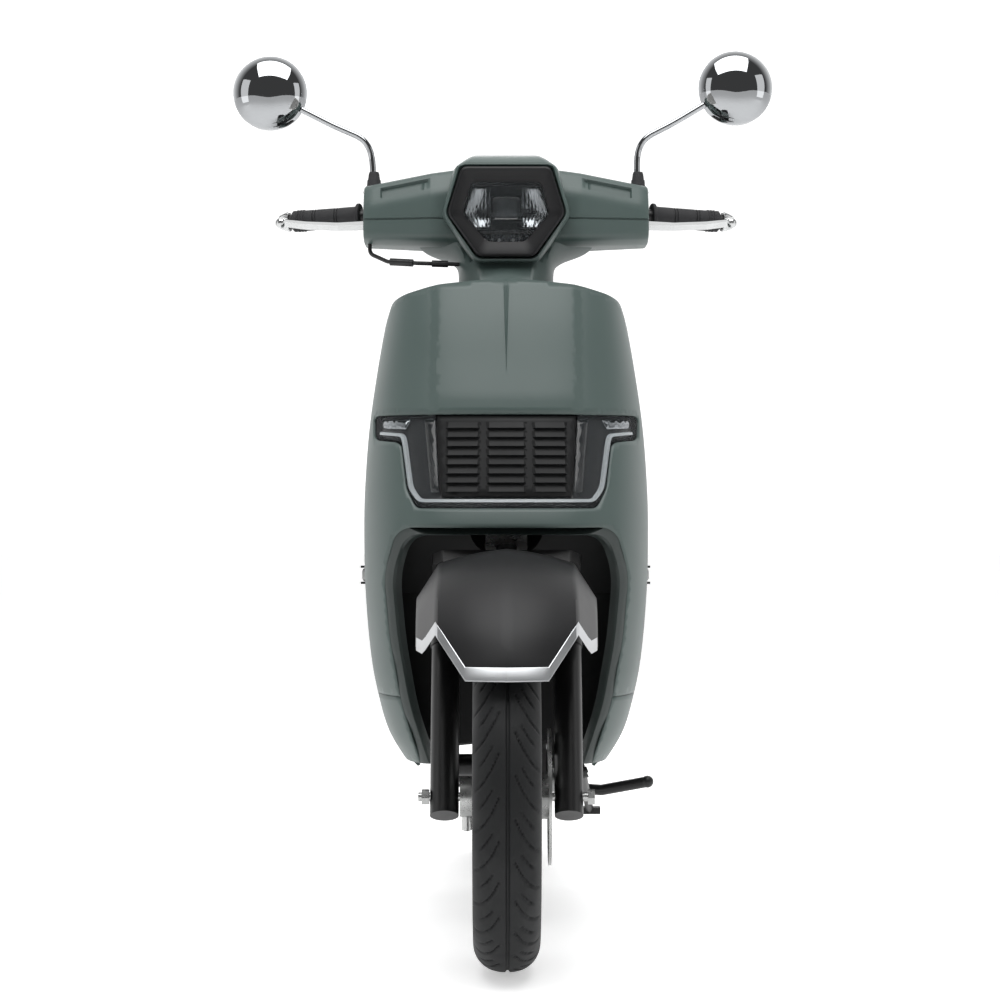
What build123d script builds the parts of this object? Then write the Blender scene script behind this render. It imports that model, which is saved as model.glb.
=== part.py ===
from build123d import *

# A moped scooter: step-through steel frame, telescopic fork, swinging engine unit and panelled body.
# Millimetres. +Z is up, the scooter faces -Y, and its left side is +X. The origin is on the ground,
# midway between the front of the front tyre and the end of the rear mudguard.

import os
from math import atan2, cos, hypot, pi, radians, sin

# ---------------------------------------------------------------- driving dimensions
overall_length = 1830.0
wheelbase = 1290.0
tyre_radius = 234.0
front_tyre_width = 90.0
rear_tyre_width = 100.0
rake = 26.5  # degrees between the steering axis and the vertical
trail = 85.0
fork_travel = 70.0
wall = 3.0  # plastic panels
gap = 0.6  # between panels that meet
running = 0.05  # radial clearance of a shaft that turns or slides in its hole

# ---------------------------------------------------------------- wheels
bead_radius = 152.0
rim_flange = 164.0
tyre_crown = 36.0  # width of the flat part of the tread
tyre_skin = 8.0
front_axle_radius = 6.0
rear_shaft_radius = 8.0
disc_radius = 92.0
disc_thickness = 4.0
disc_x = 56.0  # the disc's inner face
front_hub_half = 40.0

# ---------------------------------------------------------------- fork and steering
leg_spacing = 168.0
slider_radius = 19.5
slider_length = 262.0
slider_foot = 27.0  # how far the slider reaches below the axle
guard_centre = (-650.0, 300.0)  # y, z that the front mudguard curves round
stanchion_radius = 15.0
yoke_height = 342.0  # along the steering axis, above the front axle
yoke_thickness = 18.0
steerer_radius = 15.0
steerer_top = 800.0
head_tube_low = 405.0
head_tube_length = 200.0
head_tube_radius = 27.0
bearing_height = 18.0

# ---------------------------------------------------------------- handlebar
bar_radius = 11.0
bar_y = -240.0
bar_z = 1065.0
bar_straight = 150.0  # half the length of the straight middle
grip_start = 218.0
grip_end = 322.0
grip_radius = 15.0
grip_sweep = 38.0  # how far back the bar goes from the bend to the grip's end
grip_drop = 9.0
bar_end_length = 17.0
cover_half_width = 212.0
lever_drop = 30.0  # degrees that the levers point down from the grips
lever_reach = 40.0  # from the bar to the lever's pivot
neck_radius = 72.0
neck_low = 785.0  # along the steering axis
lamp_face_y = -350.0
lamp_mid_z = 1054.0
lamp_half = 86.0
mirror_x = 198.0
mirror_y = -238.0
mirror_base = 1086.0
mirror_lift = 2.0  # degrees that one mirror stands higher than the other
switch_travel = 3.0
buttons = [("horn_button", 166, 1038), ("turn_switch", 166, 1064), ("starter_button", -166, 1042)]
cable_route = [(-203, -262, 1030), (-203, -268, 1002), (-176, -282, 989), (-132, -292, 986), (-64, -292, 984)]

# ---------------------------------------------------------------- body
shield_top = 957.0
shield_back_y = -275.0
arch_top = 588.0
arch_half_width = 163.0
split_z = 355.0  # where the shield ends and the side skirts begin
skirt_low = 256.0
lip_width = 11.0
lip_depth = 15.0
lock_place = (-48.0, -208.0, 800.0)
peg_y = 196.0
peg_z = 512.0
floor_z = 300.0
floor_thickness = 8.0
floor_front_y = -268.0
floor_rear_y = 44.0
seat_z = 712.0
hinge_y = 44.0
hinge_z = 704.0
rack_strut_x = 70.0
rack_strut_y = 790.0
rack_hole_x = 50.0
rack_hole_y = (770.0, 788.0)
rack_hole = 8.5

# ---------------------------------------------------------------- frame
rail_x = 95.0
rail_z = 245.0
rail_radius = 14.0
rear_rail_x = 118.0

# ---------------------------------------------------------------- engine and rear suspension
pivot_y = 175.0
pivot_z = 262.0
crank_y = 290.0
drive_front_radius = 66.0
drive_rear_radius = 58.0
shock_x = 104.0
shock_top = (560.0, 600.0)  # y, z of the upper eye
shock_low = (600.0, 330.0)  # y, z of the lower eye
spring_radius = 23.0
spring_wire = 4.0
spring_turns = 7

# ---------------------------------------------------------------- stands
stand_y = 150.0
stand_z = 185.0
stand_length = 168.0
side_stand_pivot = (118.0, -95.0, 215.0)
side_stand_length = 205.0
stand_cant = 20.0  # degrees that the side stand's pivot leans

# ---------------------------------------------------------------- worked out from the above
front_axle_y = -overall_length / 2 + tyre_radius
rear_axle_y = front_axle_y + wheelbase
yoke_offset = tyre_radius * sin(radians(rake)) - trail * cos(radians(rake))
steering_place = Location((0, front_axle_y, tyre_radius), (-rake, 0, 0))
parts = {}


def add(name, *solids):
    """Keeps the solids of one node."""
    parts[name] = solids[0] if len(solids) == 1 else Compound(children=list(solids))


def on_fork(shape):
    """Places a shape modelled at the front axle with Z along the steering axis."""
    return steering_place * shape


def fork_point(x, y, z):
    """A point given in the fork's own frame, in the scooter's frame."""
    place = steering_place * Location((x, y, z))
    return place.position


def along_x(radius, x0, x1, y, z):
    """A round bar from x0 to x1."""
    return Location(((x0 + x1) / 2, y, z), (0, 90, 0)) * Cylinder(radius, abs(x1 - x0))


def upright(radius, z0, z1, x=0.0, y=0.0):
    """A round bar from z0 to z1."""
    return Location((x, y, (z0 + z1) / 2)) * Cylinder(radius, z1 - z0)


def block(x0, x1, y0, y1, z0, z1):
    """A box between two corners."""
    centre = ((x0 + x1) / 2, (y0 + y1) / 2, (z0 + z1) / 2)
    return Location(centre) * Box(x1 - x0, y1 - y0, z1 - z0)


def bar_between(start, end, radius):
    """A round bar from one point to another."""
    start, end = Vector(*start), Vector(*end)
    middle = Plane(origin=(start + end) / 2, z_dir=end - start)
    return middle.location * Cylinder(radius, (end - start).length)


def tube(points, bend, radius):
    """A round bar along straight runs joined by arcs."""
    path = FilletPolyline(*points, radius=bend)
    section = Plane(origin=path @ 0, z_dir=path % 0) * Circle(radius)
    return sweep(section, path=path)


def mirrored(shape):
    """The same piece on the other side of the scooter."""
    return mirror(shape, about=Plane.YZ)


def front_prism(points, corner=0.0):
    """A shape drawn as seen from the front, as (x, z), and run right through in Y."""
    face = make_face(Polyline(*points, close=True))
    if corner:
        face = fillet(face.vertices(), corner)
    return extrude(Plane.XZ * face, amount=1200, both=True)


def side_prism(points, x0, x1, corner=0.0):
    """A shape drawn as seen from the side, as (y, z), between x0 and x1."""
    face = make_face(Polyline(*points, close=True))
    if corner:
        face = fillet(face.vertices(), corner)
    plane = Plane(origin=(x0, 0, 0), x_dir=(0, 1, 0), z_dir=(1, 0, 0))
    return extrude(plane * face, amount=x1 - x0)


def strap(centres, radii, x0, x1):
    """A flat link between two round ends, given as (y, z), between x0 and x1."""
    (ya, za), (yb, zb) = centres
    ra, rb = radii
    length = hypot(yb - ya, zb - za)
    lean = atan2(zb - za, yb - ya)
    wrap = pi / 2 + atan2(rb - ra, length)
    sides = []
    for sign in (1, -1):
        a = lean + sign * wrap
        sides.append(((ya + ra * cos(a), za + ra * sin(a)), (yb + rb * cos(a), zb + rb * sin(a))))
    (p0, p1), (q0, q1) = sides
    body = side_prism([p0, p1, q1, q0], x0, x1)
    return body + along_x(ra, x0, x1, ya, za) + along_x(rb, x0, x1, yb, zb)


# ================================================================ wheels
def tyre(width, axle_y):
    """A hollow tubeless tyre with its beads on the rim."""
    half = width / 2
    side_r = bead_radius + 0.52 * (tyre_radius - bead_radius)
    shoulder_r = tyre_radius - 15
    crown = tyre_crown / 2
    bead = half - 11
    outer = [(bead, bead_radius + 0.5), (bead, rim_flange + 3), (half, side_r), (half - 8, shoulder_r)]
    outer.append((crown, tyre_radius))
    skin = tyre_skin
    inner = [(crown, tyre_radius - skin - 2), (half - 8 - skin, shoulder_r - 5)]
    inner += [(half - skin, side_r), (bead - skin, rim_flange + 1), (bead - skin, bead_radius + 0.5)]
    rising = Spline(*outer[1:], tangents=[(0.7, 0.7), (-1, 0)])
    falling = Spline(*inner[:4], tangents=[(1, 0), (-0.6, -0.8)])
    edges = [
        Line(outer[0], outer[1]),
        rising,
        Line(outer[-1], (0, tyre_radius)),
        Line((0, tyre_radius), (0, inner[0][1])),
        Line((0, inner[0][1]), inner[0]),
        falling,
        Line(inner[3], inner[4]),
        Line(inner[4], outer[0]),
    ]
    profile = make_face(edges)
    ring = revolve(profile, Axis.X, 360)
    return Location((0, axle_y, tyre_radius)) * (ring + mirrored(ring))


def rim(width, axle_y, hub_radius, hub_half, bore_radius, spokes=5):
    """A cast wheel: rim barrel with bead flanges, five spokes and a hub, bored through if it has a bore."""
    seat = width / 2 - 10.5
    lip = 4.0
    well = bead_radius - 16
    barrel = [
        (-seat - lip, bead_radius - 6),
        (-seat - lip, rim_flange),
        (-seat, rim_flange),
        (-seat, bead_radius),
        (-seat + 10, bead_radius),
        (-seat + 18, well),
        (seat - 18, well),
        (seat - 10, bead_radius),
        (seat, bead_radius),
        (seat, rim_flange),
        (seat + lip, rim_flange),
        (seat + lip, bead_radius - 6),
        (seat - 16, well - 6),
        (-seat + 16, well - 6),
    ]
    wheel = revolve(make_face(Polyline(*barrel, close=True)), Axis.X, 360)
    wheel += along_x(hub_radius, -hub_half, hub_half, 0, 0)
    outline = [(17, hub_radius - 6), (12, well - 3), (-12, well - 3), (-17, hub_radius - 6)]
    plane = Plane(origin=(-13, 0, 0), x_dir=(0, 1, 0), z_dir=(1, 0, 0))
    spoke = extrude(plane * make_face(Polyline(*outline, close=True)), amount=26)
    for i in range(spokes):
        wheel += Location((0, 0, 0), (360 / spokes * i, 0, 0)) * spoke
    if bore_radius:
        wheel -= along_x(bore_radius, -hub_half - 1, hub_half + 1, 0, 0)
    return Location((0, axle_y, tyre_radius)) * wheel


def brake_disc():
    """A front disc on the wheel's left, carried off the hub, with cooling holes."""
    disc = along_x(disc_radius, disc_x, disc_x + disc_thickness, 0, 0)
    disc -= along_x(disc_radius - 30, disc_x - 1, disc_x + disc_thickness + 1, 0, 0)
    carrier = along_x(30, front_hub_half, disc_x + disc_thickness, 0, 0)
    carrier -= along_x(22, front_hub_half - 1, disc_x + disc_thickness + 1, 0, 0)
    arms = 5
    for i in range(arms):
        arm = block(disc_x, disc_x + disc_thickness, -9, 9, 25, disc_radius - 27)
        carrier += Location((0, 0, 0), (360 / arms * i, 0, 0)) * arm
    disc += carrier
    holes = 20
    for i in range(holes):
        a = 2 * pi * i / holes
        r = disc_radius - 10 - 9 * (i % 2)
        disc -= along_x(3.5, disc_x - 1, disc_x + disc_thickness + 1, r * cos(a), r * sin(a))
    return Location((0, front_axle_y, tyre_radius)) * disc


# ================================================================ fork
def fork_slider(side):
    """The lower, outer leg of the fork, with its foot and mudguard lug."""
    x = side * leg_spacing / 2
    top = slider_length - slider_foot
    leg = upright(slider_radius, -slider_foot, top, x)
    leg += upright(slider_radius + 1.5, top - 14, top, x)
    leg -= upright(stanchion_radius + running, 20, top + 1, x)
    leg -= along_x(front_axle_radius + 0.1, x - 40, x + 40, 0, 0)
    return on_fork(leg)


def fork_yoke():
    """The lower yoke with the steerer tube, and the two stanchions clamped in it."""
    half = leg_spacing / 2
    right = [(half + 6, -20), (half + 20, -6), (half + 20, 16), (34, yoke_offset + 26)]
    outline = right + [(-x, y) for x, y in reversed(right)]
    plate = extrude(fillet(make_face(Polyline(*outline, close=True)).vertices(), 6), amount=yoke_thickness)
    yoke = Location((0, 0, yoke_height)) * plate
    yoke += upright(steerer_radius, yoke_height, steerer_top, 0, yoke_offset)
    yoke += upright(24, yoke_height, yoke_height + yoke_thickness + 8, 0, yoke_offset)
    stanchions = []
    for side in (-1, 1):
        x = side * half
        yoke -= upright(stanchion_radius + 0.02, yoke_height - 1, yoke_height + yoke_thickness + 1, x)
        low = 20 + fork_travel + 5
        stanchions.append(on_fork(upright(stanchion_radius, low, yoke_height + yoke_thickness + 1.5, x)))
    yoke -= upright(steerer_radius - 4, yoke_height + 40, steerer_top + 1, 0, yoke_offset)
    return [on_fork(yoke)] + stanchions


def headset_bearings():
    """The lower and upper steering bearings."""
    rings = []
    for low in (head_tube_low - bearing_height - 0.1, head_tube_low + head_tube_length + 0.1):
        ring = upright(head_tube_radius + 3, low, low + bearing_height, 0, yoke_offset)
        ring -= upright(steerer_radius + running, low - 1, low + bearing_height + 1, 0, yoke_offset)
        rings.append(on_fork(ring))
    return rings


def front_axle():
    """The front wheel spindle, with its nut, spacers and the speedometer drive on the right."""
    reach = leg_spacing / 2 + slider_radius
    spindle = along_x(front_axle_radius, -reach - 16, reach + 6, 0, 0)
    head = Location((reach + 6.5, 0, 0), (0, 90, 0)) * extrude(RegularPolygon(11, 6), amount=9)
    spindle += head
    nut_x = -reach - 1
    nut = Location((nut_x, 0, 0), (0, -90, 0)) * extrude(RegularPolygon(11, 6), amount=10)
    spindle += nut
    inner = leg_spacing / 2 - slider_radius - 0.5
    drive = along_x(27, -inner + 1, -41.5, 0, 0)
    drive += on_drive_outlet(inner)
    drive -= along_x(front_axle_radius + 0.05, -inner - 5, -40, 0, 0)
    return [on_fork(spindle), on_fork(drive)]


def on_drive_outlet(inner):
    """The stub that the speedometer cable screws to."""
    return Location((-inner + 10, 26, -24), (-135, 0, 0)) * Cylinder(7, 26)


def brake_caliper():
    """A two-piston caliper behind the left leg, round the disc's rear edge, with its bracket."""
    x_in, x_out = disc_x - 10, disc_x + disc_thickness + 13
    near, far = 30.0, 78.0
    low, high = 34.0, 96.0
    body = block(x_in, x_out, near, far, low, high)
    body = fillet(body.edges().filter_by(Axis.X), 9)
    body -= block(disc_x - 2, disc_x + disc_thickness + 2, near - 1, far - 10, low - 1, high + 1)
    body -= along_x(disc_radius + 3, disc_x - 2, disc_x + disc_thickness + 2, 0, 0)
    for z in (low + 17, high - 17):
        body += along_x(12, x_out - 1, x_out + 9, (near + far) / 2 + 2, z)
    leg_x = leg_spacing / 2
    bracket = block(disc_x + disc_thickness + 3, leg_x + 8, 10, near + 12, low + 12, high - 12)
    body += bracket - upright(slider_radius, -10, 200, leg_x)
    return on_fork(body)


def front_mudguard():
    """The front mudguard, a thin shell bolted under the fork yoke, with a notched front edge."""
    guard = mudguard_solid(0.0) - mudguard_solid(wall)
    low = 404.0
    outline = [(-54, low), (54, low), (95, 461), (112, 433), (140, 441), (140, 640), (-140, 640)]
    outline += [(-140, 441), (-112, 433), (-95, 461)]
    guard = guard & front_prism(outline)
    tongue = block(-42, 42, -66, 20, yoke_height - 3.1, yoke_height - 0.1)
    guard += on_fork(tongue) & block(-60, 60, -580, -480, 500, 620)
    return guard


# ================================================================ handlebar
def grip_axis(side):
    """The start, end and direction of one grip's axis."""
    start = Vector(side * bar_straight, bar_y, bar_z)
    end = Vector(side * grip_end, bar_y + grip_sweep, bar_z - grip_drop)
    return start, end, (end - start).normalized()


def grip_at(side, x):
    """The point on a grip's axis at this distance from the middle of the scooter."""
    start, end, direction = grip_axis(side)
    return start + direction * ((x - bar_straight) / abs(direction.X))


def handlebar():
    """The bar with its stem clamped on the steerer."""
    reach = grip_end + 4
    left, right = grip_at(1, reach), grip_at(-1, reach)
    middle = [(-bar_straight, bar_y, bar_z), (bar_straight, bar_y, bar_z)]
    bar = tube([right, *middle, left], 60, bar_radius)
    stem_top = (bar_z - tyre_radius) / cos(radians(rake)) + 8
    stem = upright(21, steerer_top - 85, stem_top, 0, yoke_offset)
    stem -= upright(steerer_radius + 0.02, steerer_top - 90, steerer_top + 5, 0, yoke_offset)
    return bar + on_fork(stem)


def grip(side, clearance):
    """A ribbed rubber grip with an inner flange."""
    a, b = grip_at(side, grip_start), grip_at(side, grip_end)
    flange = grip_at(side, grip_start + 5)
    body = bar_between(a, b, grip_radius) + bar_between(a, flange, grip_radius + 4)
    for x in (grip_start + 36, grip_start + 68):
        groove = bar_between(grip_at(side, x), grip_at(side, x + 2.5), grip_radius + 2)
        groove -= bar_between(grip_at(side, x - 1), grip_at(side, x + 4), grip_radius - 1.5)
        body -= groove
    return body - bar_between(grip_at(side, grip_start - 5), grip_at(side, grip_end + 5), bar_radius + clearance)


def lever_plane(side):
    """The plane a brake lever moves in: X along the bar, Z along the lever's pivot."""
    pivot = lever_pivot(side)
    lean = radians(lever_drop)
    return Plane(origin=pivot, x_dir=(side, 0, 0), z_dir=(0, -side * sin(lean), side * cos(lean)))


def lever_pivot(side):
    """The centre of a brake lever's pivot."""
    lean = radians(lever_drop)
    return Vector(side * 190, bar_y - lever_reach * cos(lean), bar_z - 1 - lever_reach * sin(lean))


def brake_lever(side):
    """A cast lever with a ball end, drawn flat with +Y towards the grip and placed in its own plane."""
    outline = [(-9, -8), (16, -9), (60, -11), (110, -6), (143, 4), (143, 11), (108, 3), (60, -1), (24, 4), (-9, 8)]
    face = fillet(make_face(Polyline(*outline, close=True)).vertices(), 3)
    thickness = 9.0
    lever = extrude(face, amount=thickness / 2, both=True)
    lever += Location((146, 8, 0)) * Sphere(8)
    lever += Cylinder(11, thickness)
    lever -= Cylinder(4 + running, 40)
    return lever_plane(side).location * lever


def lever_perch(side):
    """The clamp and fork that hold a lever's pivot, with the pivot pin and the mirror's boss."""
    lean = Location((side * mirror_x, mirror_y, mirror_base), (0, -mirror_lift, 0))
    clamp = bar_between(grip_at(side, 172), grip_at(side, 196), bar_radius + 7)
    clamp += lean * upright(9, bar_z - mirror_base, 14)
    clamp -= lean * upright(5 + running, -0.5, 20)
    ear = Box(22, lever_reach - 10, 4)
    fork = Cylinder(4, 18)
    for z in (7.0, -7.0):
        fork += Location((0, (lever_reach - 10) / 2, z)) * ear + Location((0, 0, z)) * Cylinder(11, 4)
    fork += Location((0, lever_reach - 17, 0)) * Box(22, 14, 18)
    perch = lever_plane(side).location * fork + clamp
    return perch - bar_between(grip_at(side, 160), grip_at(side, 220), bar_radius + 0.02)


def cover_form(inset):
    """The handlebar cover's whole outer form: two arms, the lamp nacelle and the neck."""
    sections = [
        (-cover_half_width, -292, -188, 1016, 1104),
        (-110, -312, -176, 1012, 1122),
        (0, -318, -168, 1008, 1138),
        (110, -312, -176, 1012, 1122),
        (cover_half_width, -292, -188, 1016, 1104),
    ]
    faces = []
    for x, y0, y1, z0, z1 in sections:
        shrink = inset if abs(x) == cover_half_width else 0
        x -= shrink * (1 if x > 0 else -1)
        y0, y1, z0, z1 = y0 + inset, y1 - inset, z0 + inset, z1 - inset
        outline = [(y0, z0 + 8), (y0, z1 - 14), (y0 + 40, z1), (y1, z1 - 4), (y1, z0), (y0 + 30, z0)]
        face = fillet(make_face(Polyline(*outline, close=True)).vertices(), 9)
        plane = Plane(origin=(x, 0, 0), x_dir=(0, 1, 0), z_dir=(1, 0, 0))
        faces.append(plane * face)
    arms = loft(faces, ruled=True)
    nacelle = lamp_hexagon(8.0 - inset, lamp_face_y + inset, -250)
    neck_top = neck_low + 68 + (45 if inset else 0)
    neck = on_fork(upright(neck_radius - inset, neck_low - inset, neck_top, 0, yoke_offset))
    neck &= block(-100, 100, lamp_face_y + 0.5 + inset, 0, 800, 1100)
    return arms + nacelle + neck


def lamp_hexagon(grow, y0, y1):
    """The headlamp's hexagonal outline, grown outwards, from y0 back to y1."""
    top, low = 1122.0 + grow, 991.0 - grow
    outline = [
        (-lamp_half - grow, lamp_mid_z),
        (-65 - 0.6 * grow, top),
        (65 + 0.6 * grow, top),
        (lamp_half + grow, lamp_mid_z),
        (41 + 0.6 * grow, low),
        (-41 - 0.6 * grow, low),
    ]
    plane = Plane(origin=(0, y0, 0), x_dir=(-1, 0, 0), z_dir=(0, 1, 0))
    face = make_face(Polyline(*[(-x, z) for x, z in outline], close=True))
    return extrude(plane * face, amount=y1 - y0)


def handlebar_covers():
    """The front and rear halves of the handlebar cover, as two thin shells."""
    shell = cover_form(0.0) - cover_form(wall) - lamp_hexagon(-9.0, lamp_face_y - 5, lamp_face_y + 20)
    for side in (-1, 1):
        x_in, x_out = sorted((side * (cover_half_width - 12), side * (cover_half_width + 12)))
        hole = grip_at(side, cover_half_width)
        shell -= along_x(17, x_in, x_out, hole.Y, hole.Z)
        pivot = lever_pivot(side)
        shell -= block(x_in, x_out, pivot.Y - 14, pivot.Y + 24, pivot.Z - 17, pivot.Z + 12)
        shell -= upright(12, 1080, 1125, side * mirror_x, mirror_y)
    shell -= upright(6, 1000, 1030, cable_route[0][0], cable_route[0][1])
    shell -= along_x(5, -90, -50, cable_route[-1][1], cable_route[-1][2])
    shell -= dash_place() * Location((0, 0, 12)) * Box(106, 62, 60)
    for name, x, z in buttons:
        if name == "turn_switch":
            shell -= block(x - 11 - switch_travel, x + 11 + switch_travel, -200, -150, z - 5 - running, z + 5 + running)
        else:
            shell -= Location((x, -180, z), (90, 0, 0)) * Cylinder(8 + running, 40)
    seam = bar_y + 4
    front = shell & block(-300, 300, -500, seam - gap / 2, 800, 1300)
    rear = shell & block(-300, 300, seam + gap / 2, 100, 800, 1300)
    return front, rear


def instrument_panel():
    """The dash: a shallow case with a flat window, seen by the rider."""
    case = dash_place() * Box(104, 60, 20)
    return fillet(case.edges().filter_by(Axis.X, reverse=True), 2)


def headlamp():
    """The black bezel with the lamp's case behind it, and the clear lens."""
    depth = 60.0
    bezel = lamp_hexagon(0.0, lamp_face_y - 8, lamp_face_y - 0.3)
    bezel += lamp_hexagon(-13.0, lamp_face_y - 1, lamp_face_y + depth)
    bezel -= lamp_hexagon(-20.0, lamp_face_y - 10, lamp_face_y + depth - 4)
    lens = lamp_hexagon(-20.4, lamp_face_y + 2, lamp_face_y + 6)
    return bezel, lens


# ================================================================ mirrors
def mirror_stem(side, lift):
    """A chromed stem with its lock sleeve and ball, turned by lift degrees from the usual lean."""
    stem = tube([(0, 0, 0), (0, 0, 40), (side * 9, -1, 86), (side * 60, -4, 112)], 9, 5)
    sleeve = bar_between((side * 56, -3.8, 109.8), (side * 94, -4.7, 132.1), 8.5)
    tip = Vector(side * 110, -5.2, 141.5)
    ball = bar_between((side * 90, -4.7, 129.8), tip, 4.5) + Location(tip) * Sphere(7)
    turned = Location((0, 0, 0), (0, -side * lift, 0)) * (stem + sleeve + ball)
    return Location((side * mirror_x, mirror_y, mirror_base)) * turned


def mirror_head(side, lift):
    """A round head, a dome towards the road and a flat glass towards the rider, with its ball socket."""
    outer = [(0, -26), (20, -24), (40, -16), (53, -3), (56, 8)]
    curve = Spline(*outer, tangents=[(1, 0), (0.05, 1)])
    edges = [curve, Line(outer[4], (56, 11)), Line((56, 11), (0, 11)), Line((0, 11), (0, -26))]
    shell = revolve(Plane.XZ * make_face(edges), Axis.Z, 360)
    ball = mirror_ball(side, lift)
    centre = Location((side * 41, 0, 22)) * Location((0, 0, 0), (-90, 0, side * 12))
    head = Location(ball) * centre * shell
    head += Location(ball) * Location((side * 6, 2, 3)) * Sphere(13)
    return head - Location(ball) * Sphere(7 + running) - stem_cone(side, lift)


# ================================================================ body panels
shield_sections = [  # height, half width, front
    (975, 160, -383),
    (900, 177, -425),
    (820, 191, -463),
    (738, 202, -503),
    (650, 208, -545),
    (588, 209, -572),
    (500, 207, -562),
    (400, 198, -540),
    (340, 186, -515),
    (240, 126, -455),
]
shield_power = 2.9  # of the superellipse that the shield's plan follows


def shield_form(inset, back=0.0):
    """The leg shield's whole outer form, taken in by inset, and open or closed at the back."""
    faces = []
    for z, half, front in shield_sections:
        w = half - inset
        depth = shield_back_y + back - front - inset
        points = []
        count = 12
        for i in range(count + 1):
            t = pi * i / count
            c, s = cos(t), sin(t)
            x = w * abs(c) ** (2 / shield_power) * (1 if c > 0 else -1)
            y = shield_back_y + back - depth * max(s, 0.0) ** (2 / shield_power)
            points.append((x, y))
        outline = [Spline(*points), Line(points[-1], points[0])]
        faces.append(Plane(origin=(0, 0, z)) * make_face(outline))
    return loft(faces)


lamp_top = 756.0
lamp_wing = [(192, lamp_top), (190, 722), (150, 717), (141, 650)]
lamp_low = 624.0
grille_half = 100.0
grille_low = 640.0


def lamp_outline(grow):
    """The front lamp's U with its two wings, as seen from the front."""
    side = [(x + grow, z - (grow if 0 < i < 3 else 0)) for i, (x, z) in enumerate(lamp_wing)]
    side[0] = (side[0][0], lamp_top + grow)
    low = [(126 + grow, lamp_low - grow)]
    right = side + low
    return right + [(-x, z) for x, z in reversed(right)]


def grille_outline(grow):
    """The louvred panel inside the lamp's U."""
    return [
        (grille_half + grow, lamp_top + grow),
        (grille_half - 8 + grow, grille_low - grow),
        (-grille_half + 8 - grow, grille_low - grow),
        (-grille_half - grow, lamp_top + grow),
    ]


def arch_outline(grow):
    """The wheel arch's opening, as seen from the front."""
    w = arch_half_width + grow
    side = [(w - 20, arch_top - 2 + grow), (w, arch_top - 58), (w - 8, 440), (w - 24, 345), (w - 50, 258), (w - 64, 200)]
    return side + [(-x, z) for x, z in reversed(side)]


def leg_shield():
    """The painted front apron: a thin shell, a return lip round the wheel arch, and a raised centre panel."""
    shell = shield_form(0.0) - shield_form(wall, 5.0)
    half = [(0, shield_top), (103, shield_top - 10), (150, shield_top - 23), (167, shield_top - 32)]
    half += [(175, shield_top - 56), (230, 860), (230, split_z + gap / 2)]
    outline = half + [(-x, z) for x, z in reversed(half[1:])]
    shell -= front_prism(arch_outline(lip_width), 24)
    shell += arch_lip()
    shell &= front_prism(outline)
    in_front = block(-300, 300, -700, -330, 560, 800)
    shell -= front_prism(lamp_outline(gap)) & in_front
    return shell


def lamp_band(outline, outer, inner):
    """A panel that follows the shield's surface between two depths, cut to an outline."""
    in_front = block(-300, 300, -700, -340, 560, 800)
    return (shield_form(outer) - shield_form(inner)) & front_prism(outline) & in_front


def front_lamp_and_grille():
    """The clear U-shaped lamp, and the louvred grille with the dark housing behind the lamp."""
    lamp = lamp_band(lamp_outline(0.0), 0.5, 4.0) - front_prism(grille_outline(gap))
    grille = lamp_band(lamp_outline(-1.0), 7.0, 13.0) + lamp_band(grille_outline(0.0), 2.0, 13.0)
    rows, pitch = 8, 12.9
    for i in range(rows):
        z = lamp_top - 15 - pitch * i
        for x, length in ((-62, 34), (0, 62), (62, 34)):
            grille -= Location((x, -540, z)) * Box(length, 62, 4.5) & shield_form(-5.0)
    return lamp, grille


def inner_leg_shield():
    """The rider's side of the leg shield, with a shelf round the steering neck."""
    rows = [(floor_z + 1, 172, -264, -250), (420, 198, -264, -242), (600, 205, -256, -226), (780, 194, -236, -204)]
    rows.append((shield_top - 32, 170, -222, -190))
    outer, inner = [], []
    start = shield_back_y + gap
    for z, half, mid, rear in rows:
        plane = Plane(origin=(0, 0, z))
        outline = [(-half, start), (half, start), (half - 6, mid), (half - 40, rear), (-half + 40, rear), (-half + 6, mid)]
        cavity = [(-half + wall, start - 1), (half - wall, start - 1), (half - 6 - wall, mid - wall)]
        cavity += [(half - 41, rear - wall), (-half + 41, rear - wall), (-half + 6 + wall, mid - wall)]
        outer.append(plane * make_face(Polyline(*outline, close=True)))
        inner.append(plane * make_face(Polyline(*cavity, close=True)))
    solid = loft(outer, ruled=True)
    panel = solid - loft(inner, ruled=True)
    slab = block(-300, 300, -700, 0, shield_top - 42, shield_top - 39)
    shelf = shield_form(wall + 2.0, 90.0) & slab & (solid + block(-300, 300, -700, start + 0.5, 880, 960))
    panel += shelf
    panel -= on_fork(upright(neck_radius + 5, 700, 950, 0, yoke_offset))
    x, y, z = lock_place
    return panel - Location((x, y, z), (90, 0, 0)) * Cylinder(13 + running, 60)


def wheel_arch_liner():
    """The black inner arch over and behind the front wheel."""
    half = arch_half_width + 18
    cavity = [(-700, 200), (-700, arch_top + 10), (-480, arch_top + 14), (-384, 500), (-384, 200)]
    shell = [(-600, 262), (-600, arch_top + 14), (-482, arch_top + 18), (-380, 503), (-380, 262)]
    liner = side_prism(shell, -half, half) - side_prism(cavity, -half + wall, half - wall)
    liner &= shield_form(wall + 1.5) & front_prism(arch_outline(19.0))
    lip_room = shield_form(wall) - shield_form(lip_depth + 1.0, 5.0)
    liner -= lip_room & front_prism(arch_outline(lip_width + 3.0))
    return liner - on_fork(upright(52, 330, 640, 0, yoke_offset))


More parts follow.
